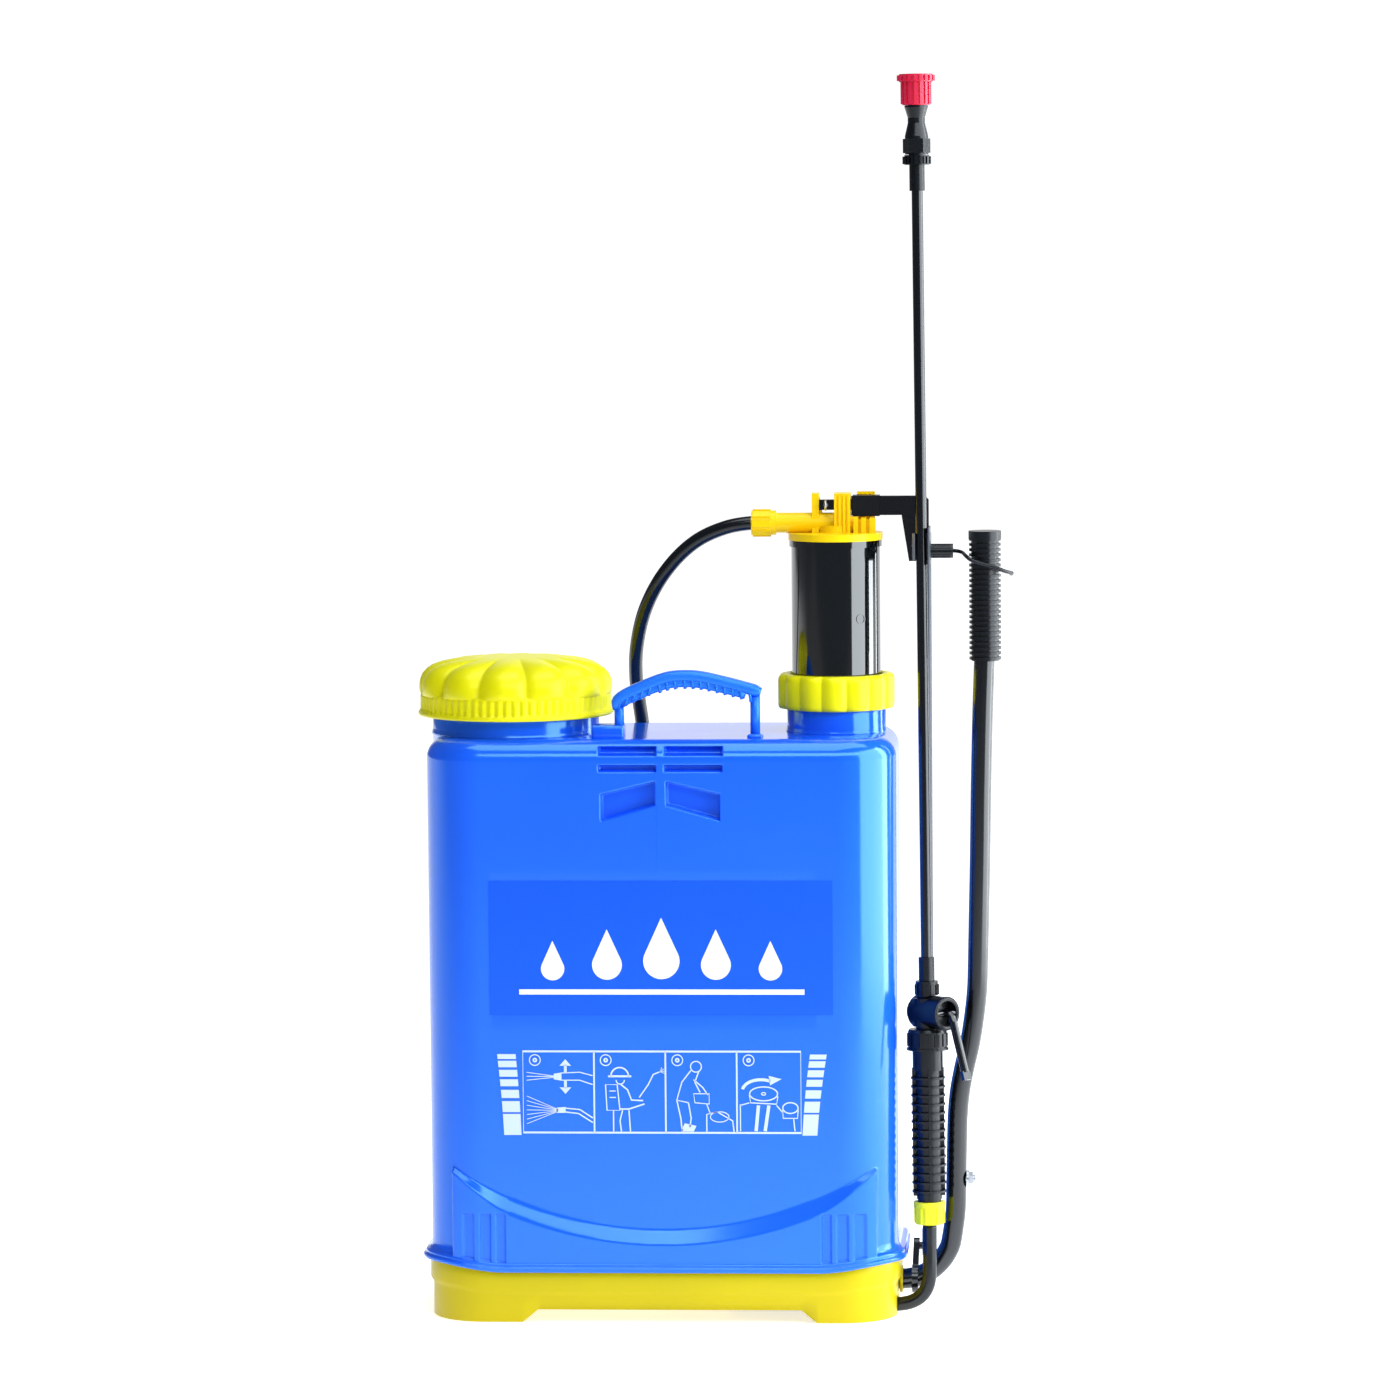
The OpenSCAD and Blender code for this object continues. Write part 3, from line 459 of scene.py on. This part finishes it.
# Extra columns on both sides of each edge of the two notches.
NOTCH_EDGES = (200.1, 217.7, 498.3, 528.3)
turns = sorted(spaced(0, LENGTH, 2.0) + [a + b for a in NOTCH_EDGES for b in (-0.35, -0.03, 0.03, 0.35)])
edge = [outline(u) for u in turns]
rows = [[(x - nx * 30, y - ny * 30, 36) for x, y, nx, ny in edge]]
for out, z in BANDS:
    rows.append([(x + nx * out, y + ny * out, max(z, foot(x, y)) + lift(x, max(12, 40 - z), 12, 26))
                 for x, y, nx, ny in edge])
rows.append([(x - nx * 30, y - ny * 30, 40) for x, y, nx, ny in edge])
moulding = Build().grid(rows, True, True, True)
for x in (-STRAP_X, STRAP_X):
    moulding.block(x - 20, x - 15, 83, 95.5, 28, 35)
    moulding.block(x + 15, x + 20, 83, 95.5, 28, 35)
    moulding.block(x - 15.5, x + 15.5, 83, 91, 28, 35)
    moulding.block(x - 15.5, x + 15.5, 94, 95.5, 28, 35, 0.5)
for x, y in ((-150, -55), (-150, 55), (150, -55), (150, 55)):
    moulding.lathe([(2.7, 37), (2.7, 12), (5, 12), (5, 8), (7.6, 8), (8, 8.4), (8, 37)], x, y, 32)
for x in (40, 150):
    moulding.block(x, x + 8, -68, 10, 13, 37)
lip = [math.radians(a) for a in range(0, 361, 10)]
moulding.tube([(183.4, LEVER_Y + 9.6 * math.cos(a), 24 + 9.6 * math.sin(a)) for a in lip], 1.3, 12)
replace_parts(moulding.make("base_moulding", "base_yellow"), "base")

# ---------------------------------------------------------------- carrying handle
ARCH = [(-32.5, 474), (-33, 479.5), (-27, 484.8), (-14, 490.8), (0, 496.4), (12, 499.2), (30, 499.0),
        (52, 494.2), (70, 489.4), (78.5, 487)]
arch = smooth_path([(x, HANDLE_Y, z) for x, z in ARCH], 2.0)
grip = Build()
n = len(arch)
ends = [1 - soft(min(i, n - 1 - i) / 3) for i in range(n)]
grip.bar(arch, [8.0 - 1.2 * e for e in ends], [4.5 - 1.4 * e for e in ends], power=3.4)
for i in range(17):
    at = arch[min(n - 2, int(5 + (n - 10) * i / 16))]
    lean = 2.2 if i < 5 else -1.0
    grip.bar([(at.x - lean, at.y, at.z - 9.6), (at.x, at.y, at.z - 1.0)], 7.4, 1.3, power=4, n=20)
grip.bar([(p.x, HANDLE_Y, p.z - 5.4) for p in arch[5:-4:3]], 6.6, 3.2, power=4, n=24)
grip.tube([(-31, HANDLE_Y, 450), (-31, HANDLE_Y, 470), (-31.5, HANDLE_Y, 480)], 3.8, 24)
grip.tube([(74, HANDLE_Y, 450), (74, HANDLE_Y, 470), (74, HANDLE_Y, 488)], 3.8, 24)
handle = grip.make("handle_moulding", "handle_blue")
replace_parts(handle, "carry_handle")


# ---------------------------------------------------------------- filler cap
def petals(a, r, z):
    lobe = abs(math.cos(6 * a + 0.35))
    groove = (1 - lobe ** 0.55) * soft((r - 26) / 34) * soft((z - 481) / 4)
    return r - 7.5 * groove, z - 2.2 * groove * soft((z - 490) / 8)


def flutes(a, r, z):
    tooth = 0.5 + 0.5 * math.cos(72 * a)
    band = soft((z - 469.3) / 0.8) * soft((482.6 - z) / 1.6)
    return r - 1.5 * band * (1 - tooth ** 0.6), z


cap = Build()
cap.lathe([(66.2, 466.2), (75.2, 466), (76, 466.6), (76, 468.6), (75.4, 469.2), (74.6, 469.8), (74.4, 472),
           (74.4, 480), (74.2, 482), (73.4, 483.2), (71, 484)], FILLER_X, n=576, shape=flutes)
cap.lathe([(68, 481.4), (74.0, 481.8), (75.4, 483.2), (75.9, 486), (75.8, 490), (75, 494), (73.2, 498),
           (70, 501.6), (65.5, 504.6), (59, 507), (50, 508.9), (38, 510.2), (24, 510.9), (10, 511),
           (2, 511)], FILLER_X, n=288, cap1=True, shape=petals)
cap.lathe([(66.2, 466.2), (65.8, 467), (65.8, 478.4), (60, 478.5), (4, 478.5)], FILLER_X, n=128, cap1=True)
cap_shell = cap.make("cap_moulding", "cap_yellow", "cap")
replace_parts(cap_shell, "filler_cap")


# ---------------------------------------------------------------- pump collar
def lobes(a, r, z):
    k = 0.5 + 0.5 * math.cos(14 * a)
    return r - 2.8 * (1 - k ** 0.45) * soft((r - 41) / 3), z


collar = Build()
collar.lathe([(39.2, 470.6), (42, 470), (44.4, 470.4), (45.6, 471.6), (45.9, 474), (45.9, 492), (45.5, 494.4),
              (44.2, 496.2), (42, 497), (38, 497.2), (36.6, 496.8), (36.2, 496), (36.2, 485.4), (38.9, 485.2),
              (38.9, 471), (39.2, 470.6)], PUMP_X, n=336, shape=lobes)
ring = collar.make("collar_moulding", "cap_yellow")
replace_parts(ring, "pump_collar")

# ---------------------------------------------------------------- hose
hose_line = smooth_path([
    (84, 0, 614), (66, 0, 613.6), (48, 2, 610), (28, 6, 601), (10, 12, 586), (-6, 20, 565), (-18, 34, 540),
    (-25, 52, 512), (-27, 72, 487), (-26, 88, 467), (-24, 97, 446), (-23, 99, 420), (-22, 94, 390),
    (-22, 86, 350), (-22, 80, 318), (-22, 80, 282), (-22, 79, 240), (-22, 79, 200), (-22, 80, 150),
    (-22, 84, 110), (-22, 92, 78), (-22, 98, 55), (-21, 96, 32), (-20, 84, 15), (-16, 66, 8.5), (-8, 46, 7),
    (6, 26, 6.8), (30, 6, 6.8), (60, -10, 6.8), (95, -22, 6.8), (130, -31, 6.8), (160, -36, 6.8),
    (182, -38.5, 7.4), (193, -39.9, 10), (200.5, -40.8, 15.5), (204.8, -41, 24), (206, -40.4, 36),
    (206, -39.1, 52), (206, -38, 70.6)], 3.0)
hose = Build().tube(hose_line, 5.5, 28).make("hose", "hose_black", None)
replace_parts(hose, "hose_upper", "hose_lower")
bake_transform(hose)

# ---------------------------------------------------------------- lever tube and retaining hook
bend = [(184 + 40 * math.sin(math.radians(a)), 66 - 40 * math.cos(math.radians(a))) for a in range(0, 73, 8)]
bend = [(x, z - 2 * min(1, (110 - z) / 84)) for x, z in bend]
LEG = [(224.2, 65), (225.9, 79.3), (226.4, 97.7), (227, 127), (227.8, 153), (229.6, 172), (233, 190),
       (237.4, 209), (240.8, 230), (243.2, 252), (244, 276), (244.8, 310), (245.8, 352), (246.8, 409),
       (248.2, 465), (249.8, 510), (250.6, 545), (250.6, 603)]
side = [(36, 24), (100, 24), (160, 24)] + bend + LEG
lever_line = smooth_path([(x, LEVER_Y, z) for x, z in side], 4.0)
lever = Build().tube(lever_line, 8, 40).make("lever_bent_tube", "black_metal", "lever")
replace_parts(lever, "lever_tube")

hook_line = smooth_path([(223, -14, 592.6), (227.5, -14, 592.6), (233, -18, 591.6), (237, -32, 589.1),
                         (241, -35.3, 586.6), (250, -35.8, 583.6), (260, -35.6, 580.6), (266, -33, 578.1),
                         (270, -28, 576.6), (271, -24, 575.6)], 1.2)
hook = Build().tube(hook_line, 1.5, 18)
hook.lathe([(0.1, 573.9), (1.3, 574.3), (1.9, 575.4), (1.9, 576.2), (1.3, 577.2), (0.1, 577.5)], 271, -24, 20)
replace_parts(hook.make("hook_wire", "black_plastic", "hook"), "retaining_hook")

# ---------------------------------------------------------------- teeth on the trigger's ring
LEAN, TILT, FOOT = math.radians(-1.5), math.radians(-0.45), (206, -38, 70.6)


def gun(x, y, z):
    y, z = y * math.cos(LEAN) - z * math.sin(LEAN), y * math.sin(LEAN) + z * math.cos(LEAN)
    x, z = x * math.cos(TILT) + z * math.sin(TILT), -x * math.sin(TILT) + z * math.cos(TILT)
    return FOOT[0] + x, FOOT[1] + y, FOOT[2] + z


def valve(x, y, z):
    c = math.sqrt(0.5)
    return gun(c * x + c * y, -c * x + c * y, z + 165.5)


teeth = Build()
for i in range(44):
    a = 2 * math.pi * i / 44
    c, s = math.cos(a), math.sin(a)
    tooth = [valve(x, r * c, r * s) for x, r in ((20.6, 12.75), (22.4, 12.75), (23.1, 12.3))]
    teeth.tube(tooth, [0.5, 0.55, 0.35], 8)
rows = []
for r, x in ((10.2, 22.6), (10.5, 23.1), (11.2, 23.35), (12.0, 23.2), (12.4, 22.7)):
    turn = [2 * math.pi * k / 64 for k in range(64)]
    rows.append([valve(x, r * math.cos(a), r * math.sin(a)) for a in turn])
teeth.grid(rows)
teeth.make("trigger_ring_teeth", "black_plastic")

# ---------------------------------------------------------------- straps
PAD_STEP = 1.5
# Millimetres along the pad at which its cross seams are.
SEAMS = range(34, 190, 32)
pad_mid = smooth_path([(0, 88.5, 413), (0, 95, 402), (0, 108, 370), (0, 115, 330), (0, 117, 290),
                       (0, 115, 250), (0, 109.5, 214)], PAD_STEP)
for s, tag in ((-STRAP_X, "left"), (STRAP_X, "right")):
    rows = []
    count = len(pad_mid)
    for i, p in enumerate(pad_mid):
        d = (pad_mid[min(i + 1, count - 1)] - pad_mid[max(i - 1, 0)]).normalized()
        up = Vector((0, -d.z, d.y))
        t = i / (count - 1)
        end = soft(min(t, 1 - t) / 0.06)
        w = 17 + 8 * end
        h = 1.6 + 2.6 * end
        row = []
        for k in range(48):
            a = 2 * math.pi * k / 48
            c, q = math.cos(a), (abs(math.cos(a)) ** 3 + abs(math.sin(a)) ** 3) ** (-1 / 3)
            x, y = w * q * c, h * q * math.sin(a)
            y *= 1 - 0.28 * math.exp(-((abs(x) - w * 0.8) / 1.4) ** 2)
            if abs(x) < w * 0.8:
                y *= 1 - 0.3 * sum(math.exp(-((PAD_STEP * i - seam) / 2.2) ** 2) for seam in SEAMS)
            v = p + up * y
            row.append((s + x, v.y, v.z))
        rows.append(row)
    pad = Build().grid(rows, True, True, True).make("shoulder_pad_" + tag, "pad_fabric")
    stitches = Build()
    for edge_x in (-20, 20):
        stitches.tube([(s + edge_x * 1.24, p.y, p.z) for p in pad_mid[9:-9:3]], 1.25, 10)
        for i in range(8, count - 8, 2):
            p = pad_mid[i]
            d = (pad_mid[i + 1] - pad_mid[i - 1]).normalized()
            up = Vector((0, -d.z, d.y))
            for sign in (-1, 1):
                a = p + up * (sign * 2.95) - d * 0.9
                b = p + up * (sign * 2.95) + d * 0.9
                stitches.tube([(s + edge_x, a.y, a.z), (s + edge_x, b.y, b.z)], 0.32, 6)
    stitches.make("pad_stitches_" + tag, "webbing_black")
    if tag == "right":
        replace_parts(pad, "shoulder_pads")


OVER = [(88.6, 412), (87.4, 422), (86.9, 431), (86.8, 437.5), (88.6, 438.6), (90.6, 436.5), (91.6, 428),
        (91.0, 416), (92.4, 407)]
upper = Build()
for s in (-STRAP_X, STRAP_X):
    line = smooth_path([(s, y, z) for y, z in OVER], 1.5)
    upper.bar(line, 15, 0.75, side=(1, 0, 0), power=6, n=32)
    for x in (-11, 11, 0):
        for i in range(6):
            upper.tube([(s + x - 1.2, 91.9, 410 + i * 2.6), (s + x + 1.2, 92.1, 410.9 + i * 2.6)], 0.35, 6)
over = upper.make("upper_straps", "webbing_black")
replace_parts(over, "upper_webbing")
UNDER = [(110.2, 220), (109.6, 212), (105.2, 160), (100, 110), (96, 70), (93.8, 46), (92.6, 33.5),
         (92.4, 27.5)]
lower = Build()
for s in (-STRAP_X, STRAP_X):
    line = smooth_path([(s, y, z) for y, z in UNDER], 2.5)
    lower.bar(line, 14, 0.75, side=(1, 0, 0), power=6, n=32)
    tail = smooth_path([(s, 108.2, 181), (s, 109.4, 168), (s, 106.6, 150), (s, 104.4, 132)], 2.5)
    lower.bar(tail, 13.6, 0.7, side=(1, 0, 0), power=6, n=32)
under = lower.make("lower_straps", "webbing_black")
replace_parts(under, "lower_webbing")

# ---------------------------------------------------------------- printed pictures
# The y of the printed faces.
INK = -83.38


class Ink(Build):
    def flat(self, pts, y=INK):
        base = len(self.v)
        self.v.extend(P(x, y, z) for x, z in pts)
        self.f.append(tuple(range(base, base + len(pts))))

    def line(self, pts, w=0.9, closed=False, y=INK):
        pts = [Vector((x, z)) for x, z in pts]
        n = len(pts)
        left, right = [], []
        for i, p in enumerate(pts):
            a = pts[(i - 1) % n] if closed or i else p
            b = pts[(i + 1) % n] if closed or i < n - 1 else p
            d = (b - a).normalized() if (b - a).length else Vector((1, 0))
            m = Vector((-d.y, d.x)) * w / 2
            left.append(p + m)
            right.append(p - m)
        base = len(self.v)
        for q in left + right:
            self.v.append(P(q.x, y, q.y))
        for i in range(n if closed else n - 1):
            j = (i + 1) % n
            self.f.append((base + i, base + j, base + n + j, base + n + i))

    def arc(self, x, z, r, a0=0, a1=360, w=0.9, sx=1.0, steps=28):
        self.line([(x + sx * r * math.cos(math.radians(a0 + (a1 - a0) * i / steps)),
                    z + r * math.sin(math.radians(a0 + (a1 - a0) * i / steps))) for i in range(steps + 1)], w)


ink = Ink()
for i, x in enumerate((-105.5, -50.7, 4.6, 59.6)):
    ink.arc(x + 9, 205, 4.2, w=0.8)
    ink.arc(x + 9, 205, 1.2, w=1.2)
# spraying: a narrow jet and a wide fan
ink.line([(-103, 195.5), (-82, 192.6)], 0.6)
ink.line([(-103, 192.4), (-82, 192.2)], 0.6)
ink.line([(-103, 189.3), (-82, 191.6)], 0.6)
ink.flat([(-82, 190), (-76, 189), (-76, 195.4), (-82, 194.4)])
ink.line([(-76, 195), (-62, 195.6), (-52, 193)], 0.8)
ink.line([(-76, 189.4), (-62, 189.4), (-52, 186)], 0.8)
for dz in (1, -1):
    ink.line([(-73, 192.2 + dz * 3), (-73, 192.2 + dz * 9)], 2.2)
    ink.flat([(-77.5, 192.2 + dz * 8.4), (-73, 192.2 + dz * 13.5), (-68.5, 192.2 + dz * 8.4)])
for i in range(7):
    ink.line([(-103, 177 - i * 3.6), (-79, 166.6 - i * 0.25)], 0.5)
ink.flat([(-80, 163.8), (-73, 164), (-73, 168.6), (-80, 168)])
ink.line([(-73, 167.6), (-62, 166.5), (-52, 160)], 1.0)
ink.line([(-73, 164.6), (-63, 163.4), (-52, 156.4)], 1.0)
# a worker with the sprayer on the back
ink.arc(-31, 192.5, 6.8, 0, 180, 1.2, 1.0)
ink.line([(-40, 192.5), (-22, 192.5)], 1.6)
ink.arc(-30.6, 189.6, 3.2, 180, 360, 0.9)
ink.line([(-42, 186), (-33, 186), (-31, 166), (-41, 166)], 1.0, True)
ink.line([(-39, 181), (-34, 181)], 0.8)
ink.line([(-39, 176), (-34, 176)], 0.8)
ink.line([(-30, 186), (-25, 182), (-22, 174), (-13, 173.6)], 1.2)
ink.line([(-31, 167), (-24, 167), (-12, 171)], 1.2)
ink.line([(-16, 176), (-9, 186), (-5, 194), (0, 196)], 1.0)
for a in (20, 50, 80, 110):
    spray = math.radians(a - 40)
    ink.line([(0.4, 196), (0.4 + 3.6 * math.cos(spray), 196 + 3.6 * math.sin(spray))], 0.5)
ink.line([(-36, 166), (-36, 149.6)], 1.0)
ink.line([(-29, 166), (-31, 158), (-30, 149.6)], 1.0)
ink.line([(-24, 166), (-23, 149.6)], 1.0)
# filling with the tank on the ground
ink.arc(28, 200, 4.2, w=0.9)
ink.line([(24, 197), (17, 188), (13, 174), (22, 172)], 1.0)
ink.line([(30, 196), (27, 188), (31, 180)], 1.0)
ink.line([(26, 190), (33, 184), (37, 178)], 1.0)
ink.line([(26, 179), (38, 179), (38, 171), (27, 172)], 0.9, True)
ink.line([(36, 171), (39, 163)], 0.8)
ink.line([(13, 174), (16, 160), (17, 150)], 1.0)
ink.line([(22, 172), (24, 160), (23, 153)], 1.0)
ink.flat([(16, 149.6), (26, 149.6), (28, 154), (19, 156)])
ink.line([(36, 149.6), (36, 163), (44, 165), (56, 158), (57, 149.6)], 1.0)
ink.arc(46, 161, 4.0, w=0.8, sx=1.8)
# closing the caps
ink.arc(78, 181, 9, 60, 170, 2.4, 1.6)
ink.flat([(84, 193), (94, 190.5), (85, 185.6)])
ink.arc(80, 179, 5.4, w=1.0, sx=2.0)
ink.arc(80, 179, 1.0, w=0.8, sx=1.6)
ink.line([(69, 178), (70, 172), (90, 171), (91, 177)], 0.9)
ink.arc(100.6, 168, 4.2, w=1.0, sx=1.4)
ink.line([(94.6, 167), (95, 160), (106, 160), (106.6, 167)], 0.9)
ink.line([(62, 171), (62, 149.8)], 0.9)
ink.line([(62, 170), (69, 172)], 0.9)
ink.line([(90, 170), (95, 164)], 0.9)
ink.line([(103, 160), (104, 150)], 0.9)
ink.line([(76, 170), (74, 150)], 2.6)
ink.line([(84, 170), (81, 150)], 2.6)
pictures = ink.make("strip_pictures", "print_white", smooth=False)

frames = Ink()
frames.line([(-105.8, 148.6), (108.8, 148.6), (108.8, 211.8), (-105.8, 211.8)], 1.6, True)
for x in (-50.8, 4.4, 59.4):
    frames.line([(x, 148.6), (x, 211.8)], 1.3)
BARS = [(146.6, 163), (164.4, 173), (175.4, 181.8), (184.6, 190), (192, 197.4), (199.4, 204.4),
        (205.8, 209.6)]
for near, far, drift in ((-107.4, -120.8, -0.045), (109.8, 121.2, 0.07)):
    for z0, z1 in BARS:
        a, b = (drift * (z - 147) * (1 + 0.012 * (z - 147)) for z in (z0, z1))
        frames.flat([(near + a * 0.8, z0), (far + a, z0), (far + b, z1), (near + b * 0.8, z1)])
borders = frames.make("strip_frames", "print_white", smooth=False)
thin_ink = material("m_thin_print", lin(206, 221, 250), 0.45, bump=0.03, grain=900)
for piece in (pictures, borders):
    piece.data.materials[0] = thin_ink
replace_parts(borders, "strip_print")

# ---------------------------------------------------------------- softer edges on the CAD pieces
SHARP = {"pump_head": 0.45, "outlet_nut": 0.7, "rocker_arm": 0.8, "arm_sleeve": 0.9, "lance_clip": 0.3,
         "clip_knob": 0.3, "gun_nut": 0.6, "gun_grip": 0.35, "gun_collar": 0.4, "valve_body": 0.5,
         "union_nut": 0.4, "nozzle_nut": 0.3, "nozzle_body": 0.4, "nozzle_cap": 0.4, "lever_grip": 0.4,
         "strap_bracket": 0.8, "strap_buckles": 1.0, "crank_arm": 0.6, "link_rod": 0.4, "lever_screw": 0.4,
         "rod_bolt": 0.4, "air_chamber": 0.5, "lance_sleeve": 0.3}
for name, width in SHARP.items():
    b = N[name].modifiers.new("soft edges", "BEVEL")
    b.width = width / 1000
    b.segments = 2
    b.limit_method = "ANGLE"
    b.angle_limit = math.radians(32)
    b.harden_normals = False
    b.use_clamp_overlap = True

# ---------------------------------------------------------------- floor, light
bpy.context.scene.view_settings.view_transform = "Standard"
bpy.ops.mesh.primitive_plane_add(size=14, location=(0, 2.0, -0.0005))
floor = bpy.context.object
floor.name = "floor"
# The floor glows as painted light: its emission rises from 0.1 at 1.4 m in front of the sprayer to full
# strength 0.8 m behind it, so the far floor stays white while the near floor lights the sprayer less from
# below.
paper = material("m_floor", (0.93, 0.93, 0.93), 0.8)
shade = paper.node_tree.nodes["Principled BSDF"]
shade.inputs["Emission Color"].default_value = (1, 1, 1, 1)
t = paper.node_tree
place = t.nodes.new("ShaderNodeTexCoord")
axes = t.nodes.new("ShaderNodeSeparateXYZ")
glow = t.nodes.new("ShaderNodeMapRange")
for key, value in (("From Min", -3.4), ("From Max", -1.2), ("To Min", 0.1), ("To Max", 1.0)):
    glow.inputs[key].default_value = value
t.links.new(place.outputs["Object"], axes.inputs["Vector"])
t.links.new(axes.outputs["Y"], glow.inputs["Value"])
t.links.new(glow.outputs["Result"], shade.inputs["Emission Strength"])
floor.data.materials.append(paper)
world = bpy.data.worlds.new("world")
bpy.context.scene.world = world
world.use_nodes = True
t = world.node_tree
where = t.nodes.new("ShaderNodeTexCoord")
split = t.nodes.new("ShaderNodeSeparateXYZ")
ramp = t.nodes.new("ShaderNodeMapRange")
ramp.inputs["From Min"].default_value = 0.86
ramp.inputs["From Max"].default_value = 0.965
t.links.new(where.outputs["Generated"], split.inputs["Vector"])
t.links.new(split.outputs["Y"], ramp.inputs["Value"])
sky = t.nodes.new("ShaderNodeMix")
sky.data_type = "RGBA"
sky.inputs["A"].default_value = (0.12, 0.135, 0.155, 1)
sky.inputs["B"].default_value = (1.05, 1.05, 1.05, 1)
t.links.new(ramp.outputs["Result"], sky.inputs["Factor"])
t.links.new(sky.outputs["Result"], t.nodes["Background"].inputs["Color"])


def area(name, turn, distance, z, w, h, power, aim=0.45):
    """Softbox at a bearing in degrees from the camera's side, towards the lever for positive ones."""
    d = bpy.data.lights.new(name, "AREA")
    d.shape = "RECTANGLE"
    d.size, d.size_y, d.energy = w, h, power
    d.color = (0.88, 0.95, 1.0)
    o = bpy.data.objects.new(name, d)
    bpy.context.scene.collection.objects.link(o)
    a = AZ + math.radians(turn)
    o.location = (distance * math.sin(a), -distance * math.cos(a), z)
    o.rotation_mode = "QUATERNION"
    o.rotation_quaternion = (Vector((0, 0, aim)) - o.location).to_track_quat("-Z", "Y")


area("key", 68, 1.9, 0.75, 2.0, 2.4, 74)
area("strip_a", 101, 1.9, 0.75, 0.5, 2.2, 26)
area("strip_b", 125, 1.9, 0.7, 0.22, 2.0, 9)
area("front_top", 12, 2.5, 2.05, 2.6, 0.8, 30, 0.1)
area("top", 40, 0.3, 2.4, 2.2, 1.4, 30)
